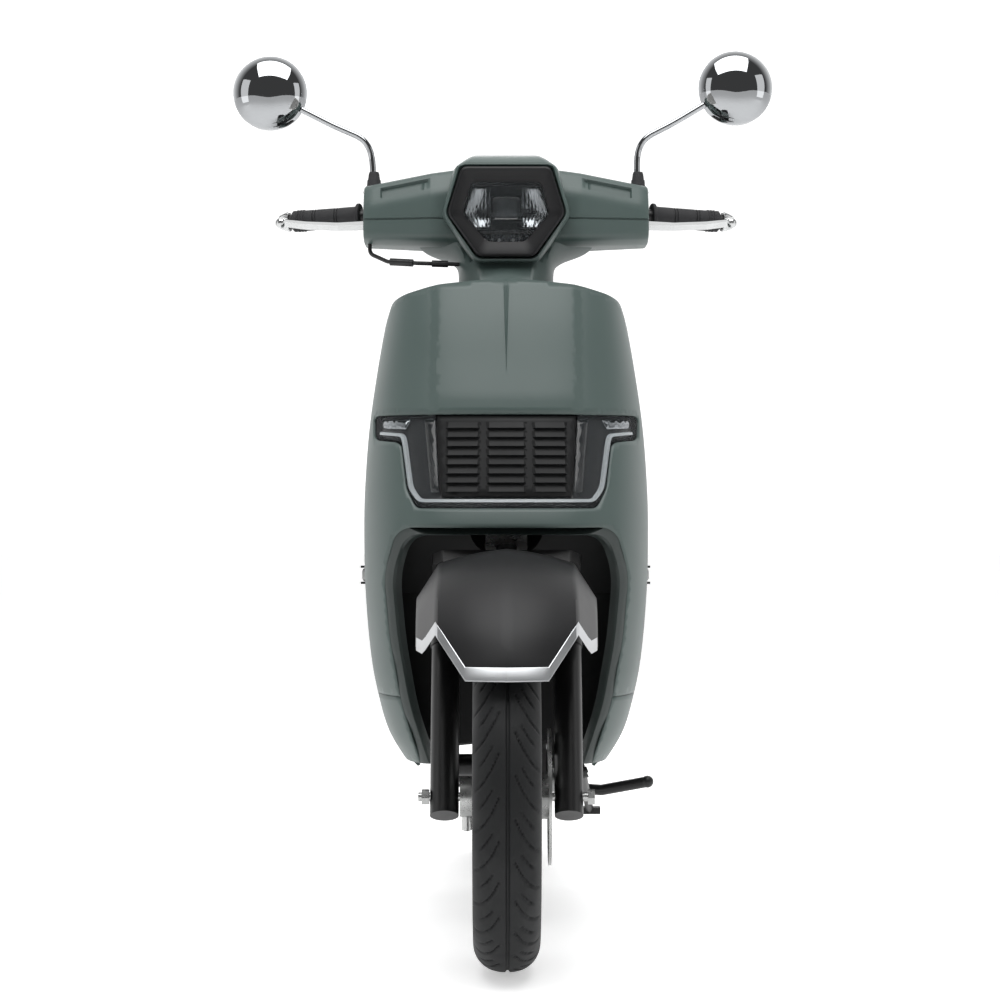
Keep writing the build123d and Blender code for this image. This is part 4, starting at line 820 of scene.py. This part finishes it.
# handlebar covers: two arms with a pocket on each, the lamp's cowl and the neck
cover = {
    "arm": {0: (-300, -168, 1008, 1138), 110: (-312, -176, 1012, 1122), 212: (-292, -188, 1016, 1104)},
    "splitZ": 1051.0,
    "pocket": (112.0, 187.0),
    "pocketDepth": 5.0,
    "lampMidZ": 1054.0,
}


def armSize(x):
    a, b = (0, 110) if x <= 110 else (110, 212)
    t = (x - a) / (b - a)
    return [p + (q - p) * t for p, q in zip(cover["arm"][a], cover["arm"][b])]


def armRing(x, inset):
    y0, y1, z0, z1 = armSize(abs(x))
    y0, y1, z0, z1 = y0 + inset, y1 - inset, z0 + inset, z1 - inset
    corners = [(y0, z0 + 8), (y0 + 1, z1 - 34), (y0 + 24, z1 - 1), (y1, z1 - 4), (y1, z0), (y0 + 30, z0)]
    loop = rounded(corners, 9, 3)
    front, slope = loop[:4], loop[4:8]
    groove = [(y0 + 2.0 * deep, cover["splitZ"] + dz) for dz,
        deep in ((-1.5, 0), (-1.0, 1), (1.0, 1), (1.5, 0))]
    a, b = loop[7], loop[8]
    across = Vector((b.y - a.y, a.x - b.x)).normalized()
    pocket = []
    near, far = cover["pocket"]
    for share, deep in ((0.02, 0), (0.1, 1), (0.84, 1), (0.93, 0)):
        lean = near + 10 * (1 - share)
        level = min(smoothStep(lean, lean + 3, abs(x)), 1 - smoothStep(far - 3, far, abs(x)))
        pocket.append(a.lerp(b, share) + across * cover["pocketDepth"] * deep * level)
    ring = [tuple(p) for p in front] + groove + [tuple(p) for p in slope] + [tuple(p)
        for p in pocket] + [tuple(p) for p in loop[8:]]
    return [(x, y, z) for y, z in ring]


armStations = [(x, 0) for x in (196, 188, 187, 186, 185, 184, 183, 176, 160, 145, 132, 127, 125, 123, 121,
    119, 117, 115, 113, 111, 100, 80, 50, 25)]
armStations = [(212, 4), (211, 1.2), (208, 0)] + armStations
rings = [armRing(x, inset) for x, inset in armStations] + [armRing(0, 0)]
rings += [armRing(-x, inset) for x, inset in reversed(armStations)]
arms = skin(rings)


def cowlRing(grow, y, topHalf, topZ, shoulderHalf, shoulderZ):
    # the painted cowl behind the lamp: flat on top, with a chamfer down to each shoulder
    side, low = 86.0 + grow, 991 - grow
    corners = [(side, cover["lampMidZ"]), (shoulderHalf, shoulderZ), (topHalf, topZ), (-topHalf, topZ),
        (-shoulderHalf, shoulderZ)]
    corners += [(-side, cover["lampMidZ"]), (-41 - 0.6 * grow, low), (41 + 0.6 * grow, low)]
    return [(p.x, y, p.y) for p in rounded(corners, 8, 5)]


def hexagon(grow, y, lift=0.0, corner=8.0):
    side, top, low = 86.0 + grow, 1122 + grow + lift, 991 - grow
    corners = [(side, cover["lampMidZ"]), (65 + 0.6 * grow, top), (-65 - 0.6 * grow, top),
        (-side, cover["lampMidZ"])]
    corners += [(-41 - 0.6 * grow, low), (41 + 0.6 * grow, low)]
    return [(p.x, y, p.y) for p in rounded(corners, corner, 5)]


cowl = skin([cowlRing(0.6, -338, 62, 1123, 66, 1121), cowlRing(1.6, -348, 62, 1124, 67, 1122),
    cowlRing(3.5, -351, 62, 1126, 69, 1123),
             cowlRing(6.0, -350, 61, 1129, 72, 1124), cowlRing(7.5, -346, 59, 1132, 74, 1124),
             cowlRing(8.5, -330, 54, 1139, 76, 1124),
             cowlRing(9.0, -300, 50, 1145, 78, 1123), cowlRing(9.0, -250, 50, 1145.5, 80, 1121),
             cowlRing(6.0, -205, 48, 1141, 80, 1117),
             cowlRing(-4.0, -180, 44, 1133, 72, 1108)], capStart=False)
rings = []
for height, wide in ((788, 62), (785, 69), (787, 70), (830, 70.2), (842, 71), (852, 73.5), (861, 78),
        (869, 86), (876, 96), (883, 111), (889, 130)):
    ring = []
    for a in [2 * pi * k / 72 for k in range(72)]:
        x, y, z = forkPlace @ Vector((wide * cos(a), bike["yokeOffset"] + min(wide, 70.2) * sin(a), height))
        ring.append((x, max(y, -372 + 72 * smoothStep(972, 1006, z)), z))
    rings.append(ring)
neck = skin(rings)
placedMesh("handlebarCover", *joined(arms, cowl), sagePaint, "steering", "sage_paint",
           ("handlebar_cover_front", "handlebar_cover_rear"), 32)
placedMesh("coverNeck", *neck, sagePaint, "steering", "sage_paint", (), 32)

# headlamp: black bezel, clear lens, a fluted reflector with a projector, and four small cells
lamp = {"inner": -22.0, "backY": -306.0, "reflectorY": -330.0, "cellZ": 1017.0, "cellPitch": 22.0}
bezel = skin([hexagon(-2.0, -347), hexagon(0.3, -353), hexagon(0.0, -357), hexagon(-2.5, -358.5),
    hexagon(-5, -358), hexagon(-13, -354), hexagon(-19, -351), hexagon(lamp["inner"], -349),
              hexagon(lamp["inner"] - 0.5, -340),
              hexagon(lamp["inner"] + 1, lamp["backY"])], capStart=False)
placedMesh("headlampBezel", *bezel, satinPlastic, "steering", "gloss_black", ("headlamp_bezel",), 30)
lensRings = [hexagon(lamp["inner"] + 0.3, -347), hexagon(lamp["inner"] + 0.3, -349.5),
    hexagon(lamp["inner"] - 1.5, -351.5), hexagon(-50, -353.5), hexagon(-72, -354, corner=2)]
placedMesh("headlampLens", *skin(lensRings, capStart=False), clearLens, "steering", "clear_lens",
    ("headlamp_lens",), 30, 1.5)


def lampHalf(z):
    return 61.0 - max(0, z - 1054) * 0.34 - max(0, 1054 - z) * 0.5


lampWell = skin([hexagon(lamp["inner"] + 1.5, -321.5), hexagon(lamp["inner"] + 1.5, -319.5)])
placedMesh("lampWell", *lampWell, glossPlastic, "steering", "gloss_black", (), 30)
columns = []
for i in range(113):
    share = -1 + 2 * i / 112
    column = []
    for k in range(9):
        z = 1036 + 56 * k / 8
        x = share * lampHalf(z)
        flute = 3.6 * abs(sin(x * pi / 5.2)) * smoothStep(18, 24, abs(x))
        bowl = 12.0 * (1 - (abs(share)) ** 2.2) * (1 - abs(2 * k / 8 - 1) ** 3)
        column.append((x, lamp["reflectorY"] + bowl - flute, z))
    columns.append(column)
placedMesh("lampReflector", *skin(columns, closed=False), lampMirror, "steering", "clear_lens", (), 50)


def square(half, y, corner, z=1063.0, flat=0.82):
    points = rounded([(half, half * flat), (-half, half * flat), (-half, -half * flat),
        (half, -half * flat)], corner, 5)
    return [(p.x, y, z + p.y) for p in points]


projector = skin([square(22, -318, 6), square(22, -336, 6), square(20, -338, 6), square(17.5, -337, 5),
    square(16.5, -330, 5)], capStart=False)
placedMesh("projectorFrame", *projector, glossPlastic, "steering", "gloss_black", (), 30)
bulb = skin([square(16.4, -329, 5), square(16, -334, 5), square(14, -337.5, 4.6), square(10, -340, 3.6),
    square(5, -341.3, 2)], capStart=False)
placedMesh("projectorLens", *bulb, clear("projectorGlass", "9aa4a8", 0.02), "steering", "clear_lens", (),
    60)
shelf = slab(-56, 56, -342, -318, 1029.5, 1035, 1.2)
cross = slab(-16, 16, -336.5, -330, 1061.6, 1064.4, 0.5)
post = slab(-1.4, 1.4, -336.5, -330, 1050, 1076, 0.5)
placedMesh("lampShelf", *joined(shelf, cross, post), glossPlastic, "steering", "gloss_black", (), 30)
cell = skin([[(p.x, y, p.y) for p in rounded([(h, h * 0.8), (-h, h * 0.8), (-h, -h * 0.8), (h, -h * 0.8)],
    h * 0.35, 3)]
             for h, y in ((9.8, 0), (10, -3), (9.2, -3.4), (6, 3), (3, 5))], capStart=False)
places = [((lamp["cellPitch"] * (k - 1.5) * 0.95, -331, lamp["cellZ"]), (0, 0, 0), (1, 1, 1))
    for k in range(4)]
copies("lampCells", cell, places, lampMirror, "steering", (), 30)
places = [((x, -327.5, z), (0, 0, 0), (0.3, 0.3, 0.3)) for (x, y, z), turn, size in places]
copies("lampEmitters", moved(turned([(0, -4), (6, -4), (8, -2), (8, 4), (0, 4)], 16),
    Matrix.Rotation(radians(90), 4, "X")), places, lightGuide,
       "steering", (), 30)
print("handlebar cover and headlamp done")

# grips, bar ends, mirror boots and heads
bars = {"start": (150, -240, 1065), "end": (322, -202, 1056), "gripFrom": 218, "gripRadius": 15.6}


def gripPlace(side, x):
    a = Vector(bars["start"])
    b = Vector(bars["end"])
    p = a.lerp(b, (x - a.x) / (b.x - a.x))
    p.x *= side
    way = b - a
    way.x *= side
    return aimed(p, p + way)


r = bars["gripRadius"]
gripProfile = [(11.2, 0), (19.4, 0), (20, 0.8), (20, 4.2), (19.2, 5), (r + 1, 6), (r + 0.2, 9)]
for ring in (34, 38, 68, 72):
    gripProfile += [(r, ring - 1.2), (r - 1.6, ring - 0.6), (r - 1.6, ring + 0.6), (r, ring + 1.2)]
for ring in (88, 92.5, 97):
    gripProfile += [(r, ring - 1.6), (r + 1.0, ring - 0.9), (r + 1.0, ring + 0.9), (r, ring + 1.6)]
gripProfile += [(r + 0.4, 101), (r + 0.4, 104), (r - 1, 105.4), (11.2, 105.6)]
for side, name, body, node in ((1, "leftGripRubber", "steering", "left_grip"),
        (-1, "rightGripRubber", "throttle", "throttle_grip")):
    placedMesh(name, *moved(turned(gripProfile, 40), gripPlace(side, bars["gripFrom"])), gripRubber, body,
        "rubber", (node,), 30)
weights = []
for side in (-1, 1):
    rings = []
    for radius, height, flute in ((4, -0.2, 0), (13.2, -0.2, 0), (14.6, 1, 0.2), (14.2, 3, 0.9),
            (12.2, 9, 0.9), (10.2, 15, 0.6), (9.2, 17.2, 0), (4, 17.6, 0)):
        rings.append([((radius + flute * cos(14 * a)) * cos(a), (radius + flute * cos(14 * a)) * sin(a),
            height) for a in [2 * pi * k / 84 for k in range(84)]])
    weights.append(moved(skin(rings), gripPlace(side, 326.2)))
placedMesh("barEndWeights", *joined(*weights), polishedCast, "steering", "cast_aluminium", (), 30)

mirror = {"baseX": 198.0, "baseY": -238.0, "baseZ": 1086.0, "lift": 2.0, "ball": (110, -5.2, 141.5),
    "offset": (41, 0, 22)}
boot = turned([(0, 8), (15.5, 8), (16, 10), (15.5, 13), (12.8, 15), (12, 19), (10.6, 21), (10.2, 28),
    (9, 30), (8, 38), (6.8, 41), (0, 42)], 40)
boots = [moved(boot, Matrix.Translation((side * mirror["baseX"], mirror["baseY"], mirror["baseZ"])))
    for side in (-1, 1)]
placedMesh("mirrorBoots", *joined(*boots), gripRubber, "steering", "rubber", (), 40)
dome = [(0, -26), (8, -25.9), (16, -25.1), (24, -23.3), (32, -20.2), (40, -15.9), (46, -11.4), (51, -5.8),
    (54, -0.8), (55.6, 4), (56, 8), (56, 11), (55.2, 11.9), (54, 12), (53.2, 11.2), (53, 10.2), (0, 10.2)]
for side, name in ((1, "left"), (-1, "right")):
    lean = Matrix.Rotation(radians(-mirror["lift"]), 4, "Y")
    x, y, z = mirror["ball"]
    ball = Matrix.Translation((side * mirror["baseX"], mirror["baseY"],
        mirror["baseZ"])) @ lean @ Vector((side * x, y, z))
    a, b, c = mirror["offset"]
    face = Matrix.Translation(ball + Vector((side * a, b, c))) @ Matrix.Rotation(radians(-90), 4, "X")
    knuckle = moved(turned([(0, -13), (5, -12), (9, -9.4), (12, -5), (13, 0), (12, 5), (9, 9.4), (5, 12),
        (0, 13)], 32), Matrix.Translation(ball + Vector((side * 6, 2, 3))))
    placedMesh("mirrorHead_" + name, *joined(moved(turned(dome, 96), face), knuckle), chromePlate,
        "head_" + name, "chrome", ("mirror_head_" + name,), 50)
    placedMesh("mirrorGlass_" + name, *moved(turned([(0, 10.3), (52.6, 10.3), (53.2, 10.7), (52.4, 11.1),
        (0, 11.1)], 72), face), mirrorGlass, "head_" + name, "chrome", (), 30)
    cap = Matrix.Translation(ball + Vector((side * 7, -13.5, 4))) @ Matrix.Rotation(radians(90), 4, "X")
    placedMesh("mirrorCap_" + name, *moved(turned([(0, -4), (9.6, -4), (10, -3), (10, 1.5), (9, 2.6),
        (0, 3.2)], 36), cap), zincSteel, "head_" + name, "chrome", (), 40)
    stem = [(0, 0, 36), (0, 0, 48), (side * 1, 0, 62), (side * 4, -0.6, 75), (side * 10, -1.2, 86),
        (side * 20, -1.9, 94.5), (side * 34, -2.6, 101.5),
            (side * 60, -3.6, 114), (side * 104, -5.0, 138)]
    base = Matrix.Translation((side * mirror["baseX"], mirror["baseY"], mirror["baseZ"])) @ lean
    placedMesh("mirrorStem_" + name, *hose([base @ p for p in curved(stem, 6)], 4.9, 20), chromePlate,
        "stem_" + name, "chrome", ("mirror_stem_" + name,), 40)
print("grips and mirrors done")

# tyres: a rounded road tread with a centre groove and curved slanting grooves
tread = {"pitches": 26, "groove": 3.4, "depth": 2.8, "centre": 4.2, "steps": 728}


def tyrePiece(name, width, axleY, body, node):
    w = width / 2
    side = [(w - 19, 152.6), (w - 11, 152.6), (w - 11, 163), (w - 10.4, 167), (w - 5.5, 178),
        (w - 1.6, 188), (w, 196), (w - 1.4, 206), (w - 6, 216)]
    side += [(w - 13, 224), (w * 0.5, 230.2), (w * 0.3, 232.8), (7, 233.9), (0, 234)]
    line = curved([(x, r, 0) for x, r in side], 5)
    half = [(p.x, p.y) for p in line]
    profile = half + [(-x, r) for x, r in reversed(half[:-1])]
    arc = [0.0]
    for (xa, ra), (xb, rb) in zip(profile, profile[1:]):
        arc.append(arc[-1] + hypot(xb - xa, rb - ra))
    count = 112
    even = []
    for k in range(count + 1):
        target = arc[-1] * k / count
        i = max(1, next((n for n, d in enumerate(arc) if d >= target - 1e-6), len(arc) - 1))
        t = (target - arc[i - 1]) / max(1e-6, arc[i] - arc[i - 1])
        even.append((profile[i - 1][0] + (profile[i][0] - profile[i - 1][0]) * t,
            profile[i - 1][1] + (profile[i][1] - profile[i - 1][1]) * t))
    pitch = 2 * pi / tread["pitches"]
    points, faces = [], []
    steps = tread["steps"]
    for k in range(steps):
        a = 2 * pi * k / steps
        for x, radius in even:
            deep = 0.0
            if radius > 205:
                deep = tread["depth"] * (1 - smoothStep(tread["centre"] / 2 - 0.6,
                    tread["centre"] / 2 + 0.9, abs(x - 1)))
                along = abs(x)
                shift = (0.0 if x > 0 else 0.5) * pitch
                for extra, low, high in ((0.0, 8, w - 1), (0.5 * pitch, 17, w - 9)):
                    if low < along < high:
                        middle = shift + extra + 0.011 * (along - 8) - 0.00012 * (along - 8) ** 2
                        away = ((a - middle + pitch / 2) % pitch - pitch / 2) * radius
                        taper = min(1.0, (along - low) / 3, (high - along) / 5)
                        cut = 1 - smoothStep(tread["groove"] / 2 - 0.7, tread["groove"] / 2 + 0.9,
                            abs(away))
                        deep = max(deep, tread["depth"] * cut * taper)
            r = radius - deep
            points.append((x, axleY + r * cos(a), bike["wheelRadius"] + r * sin(a)))
    size = len(even)
    for k in range(steps):
        n = (k + 1) % steps
        for i in range(size - 1):
            faces.append((k * size + i, n * size + i, n * size + i + 1, k * size + i + 1))
    placedMesh(name, points, faces, tyreRubber, body, "tyre", (node,), 50)


tyrePiece("frontTyreTread", 90, bike["frontAxleY"], "front_wheel", "front_tyre")
tyrePiece("rearTyreTread", 100, bike["rearAxleY"], "rear_wheel", "rear_tyre")
print("tyres done")

# seat cushion: a pressed-out vinyl cover over foam, with sewn channels
seat = {
    "sections": [(60, 78, 760), (100, 92, 766), (180, 104, 770), (300, 114, 773), (420, 116, 786),
    (520, 113, 797), (620, 104, 802), (690, 88, 799), (718, 70, 794)],
    "frontY": 60,
    "backY": 718,
    "lowZ": 718.8,
    "voxel": 6.0,
    "pressure": 4.0,
    "mostMove": 9.0,
    "seamShare": 0.76,
    "channels": (150, 205, 260, 315, 370),
    "seamDepth": 2.4,
    "seamWidth": 3.2,
    "channelSweep": 0.10,
    "fill": 0.85,
    "stitch": 6.0,
}


def seatSize(y):
    rows = seat["sections"]
    i = 0
    while i < len(rows) - 2 and y > rows[i + 1][0]:
        i += 1
    t = (y - rows[i][0]) / (rows[i + 1][0] - rows[i][0])
    return [rows[i][k] + (rows[i + 1][k] - rows[i][k]) * t for k in (1, 2)]


rings = []
for y in [60, 66, 80] + list(range(100, 700, 20)) + [706, 714, 718]:
    half, top = seatSize(y)
    end = min(1.0, 0.82 + 0.18 * min(y - seat["frontY"], seat["backY"] - y) / 14)
    half, low = half * end, seat["lowZ"]
    top = low + (top - low) * end
    outline = rounded([(half, low), (half * 1.02, low + 26), (half * 0.9, top - 6), (0, top),
        (-half * 0.9, top - 6), (-half * 1.02, low + 26), (-half, low)], 16, 4)
    rings.append([(p.x, y, p.y) for p in outline])
cushionMesh = bpy.data.meshes.new("seatForm")
shape = skin(rings)
cushionMesh.from_pydata([tuple(c * mm for c in p) for p in shape[0]], [], shape[1])
work = bmesh.new()
work.from_mesh(cushionMesh)
bmesh.ops.remove_doubles(work, verts=work.verts, dist=0.00001)
bmesh.ops.recalc_face_normals(work, faces=work.faces)
work.to_mesh(cushionMesh)
work.free()
cushion = bpy.data.objects.new("seatForm", cushionMesh)
bpy.context.scene.collection.objects.link(cushion)
remesh = cushion.modifiers.new("remesh", "REMESH")
remesh.mode, remesh.voxel_size = "VOXEL", seat["voxel"] * mm
graph = bpy.context.evaluated_depsgraph_get()
even = bpy.data.meshes.new_from_object(cushion.evaluated_get(graph))
cushion.modifiers.remove(remesh)
cushion.data = even
start = [v.co.copy() for v in even.vertices]
pinned = cushion.vertex_groups.new(name="pinned")
pinned.add([v.index for v in even.vertices if v.co.z < (seat["lowZ"] + 5) * mm], 1.0, "REPLACE")
puffed = start
cloth = cushion.modifiers.new("cloth", "CLOTH")
cloth.settings.use_pressure = True
cloth.settings.uniform_pressure_force = seat["pressure"]
cloth.settings.effector_weights.gravity = 0
cloth.settings.vertex_group_mass = "pinned"
cloth.settings.quality = 4
cloth.point_cache.frame_start, cloth.point_cache.frame_end = 1, 20
for step in range(1, 21):
    bpy.context.scene.frame_set(step)
graph = bpy.context.evaluated_depsgraph_get()
puffed = [v.co.copy() for v in cushion.evaluated_get(graph).data.vertices]
cushion.modifiers.remove(cloth)
bpy.context.scene.frame_set(1)
for v, a, b in zip(even.vertices, start, puffed):
    step = b - a
    if step.length > seat["mostMove"] * mm:
        step = step.normalized() * seat["mostMove"] * mm
    v.co = a + step
    v.co.z = max(v.co.z, seat["lowZ"] * mm)
work = bmesh.new()
work.from_mesh(even)
for turn in range(3):
    bmesh.ops.smooth_vert(work, verts=[v for v in work.verts if v.co.z > (seat["lowZ"] + 4) * mm],
        factor=0.5, use_axis_x=True, use_axis_y=True, use_axis_z=True)
bmesh.ops.subdivide_edges(work, edges=work.edges, cuts=1, use_grid_fill=True)
work.normal_update()
for v in work.verts:
    x, y, z = (c / mm for c in v.co)
    half, top = seatSize(min(seat["backY"], max(seat["frontY"], y)))
    if z < seat["lowZ"] + 22 or not seat["frontY"] < y < seat["backY"]:
        continue
    away = abs(abs(x) - half * seat["seamShare"])
    deep = exp(-((away / seat["seamWidth"]) ** 2))
    if abs(x) < half * seat["seamShare"]:
        for line in seat["channels"]:
            bend = y - line - seat["channelSweep"] * abs(x)
            deep = max(deep, exp(-((bend / seat["seamWidth"]) ** 2)))
    v.co -= v.normal * seat["seamDepth"] * mm * deep
work.to_mesh(even)
work.free()
bpy.data.objects.remove(cushion)
even.name = "seatCushionCover"
cushionPiece = placedObject("seatCushionCover", even, seatVinyl, "seat", ("seat_cushion",),
    180)
bpy.context.view_layer.update()
places = []
for side in (-1, 1):
    y = 80.0
    while y < 690:
        half = seatSize(y)[0]
        ahead = seatSize(y + 3)[0]
        x = side * (half * seat["seamShare"] - 4.2)
        hit, spot = cushionPiece.ray_cast(Vector((x * mm, y * mm, 1.0)), Vector((0, 0, -1)))[:2]
        if hit:
            lean = atan2(side * (ahead - half) * seat["seamShare"], 3)
            places.append(((spot.x / mm, spot.y / mm, spot.z / mm + 0.1), (0.0, 0.0, -lean),
                (1.0, 1.0, 1.0)))
        y += seat["stitch"]
stitch = moved(turned([(0, -2), (0.45, -1.6), (0.6, 0), (0.45, 1.6), (0, 2)], 8),
    Matrix.Rotation(radians(90), 4, "X"))
copies("seatStitches", stitch, places, gripRubber, "seat", (), 60)
print("seat done")

# floor, light and camera
studio = {
    "cameraAt": (-0.009, -4.681, 0.635),
    "lens": 106.6,
    "floorTone": "f4f4f4",
    "floorGlow": 0.45,
    "worldTone": "ffffff",
    "worldStrength": 0.1,
    "backStrength": 1.25,
    "keyPower": 96.0,
    "sidePower": 14.0,
    "backPower": 34.0,
}


def areaLight(name, place, aim, width, height, power):
    data = bpy.data.lights.new(name, "AREA")
    data.shape = "RECTANGLE"
    data.size, data.size_y, data.energy = width, height, power
    lamp = bpy.data.objects.new(name, data)
    lamp.location = place
    lamp.rotation_euler = (Vector(aim) - Vector(place)).to_track_quat("-Z", "Y").to_euler()
    bpy.context.scene.collection.objects.link(lamp)


areaLight("overheadSoftbox", (0.0, -1.2, 3.4), (0, 0, 0.7), 3.0, 2.4, studio["keyPower"])
areaLight("leftSoftbox", (3.2, -1.6, 1.6), (0, -0.3, 0.7), 1.4, 2.6, studio["sidePower"])
areaLight("rightSoftbox", (-3.2, -1.6, 1.6), (0, -0.3, 0.7), 1.4, 2.6, studio["sidePower"])
areaLight("backSoftbox", (0.0, 3.4, 2.2), (0, 0, 0.8), 2.6, 1.8, studio["backPower"])

world = bpy.data.worlds.new("paleStudio")
bpy.context.scene.world = world
world.use_nodes = True
sky = world.node_tree
outward = addNode(sky, "ShaderNodeTexCoord")
axes = addNode(sky, "ShaderNodeSeparateXYZ", {}, {0: outward.outputs["Generated"]})
ahead = addNode(sky, "ShaderNodeMapRange", {"From Min": -0.1, "From Max": 0.6,
    "To Min": studio["worldStrength"], "To Max": studio["backStrength"]},
                {"Value": axes.outputs["Y"]})
sky.nodes["Background"].inputs["Color"].default_value = linear(studio["worldTone"])
sky.links.new(ahead.outputs[0], sky.nodes["Background"].inputs["Strength"])

floorMesh = bpy.data.meshes.new("studioFloor")
floorMesh.from_pydata([(-30, -30, 0), (30, -30, 0), (30, 30, 0), (-30, 30, 0)], [], [(0, 1, 2, 3)])
floorMesh.materials.append(finish("paleSeamlessFloor", studio["floorTone"], 0.6, grain=40, relief=0.01,
    shade=0.005, extra={"Emission Color": linear(studio["worldTone"]),
                                  "Emission Strength": studio["floorGlow"]}))
floorPiece = bpy.data.objects.new("studioFloor", floorMesh)
bpy.context.scene.collection.objects.link(floorPiece)

lens = bpy.data.cameras.new("frontCamera")
lens.lens, lens.sensor_width = studio["lens"], 36.0
lens.clip_end = 60.0
eye = bpy.data.objects.new("frontCamera", lens)
eye.location = studio["cameraAt"]
eye.rotation_euler = (radians(90), 0, 0)
bpy.context.scene.collection.objects.link(eye)
bpy.context.scene.camera = eye
bpy.context.scene.view_settings.view_transform = "Standard"
print("studio done")
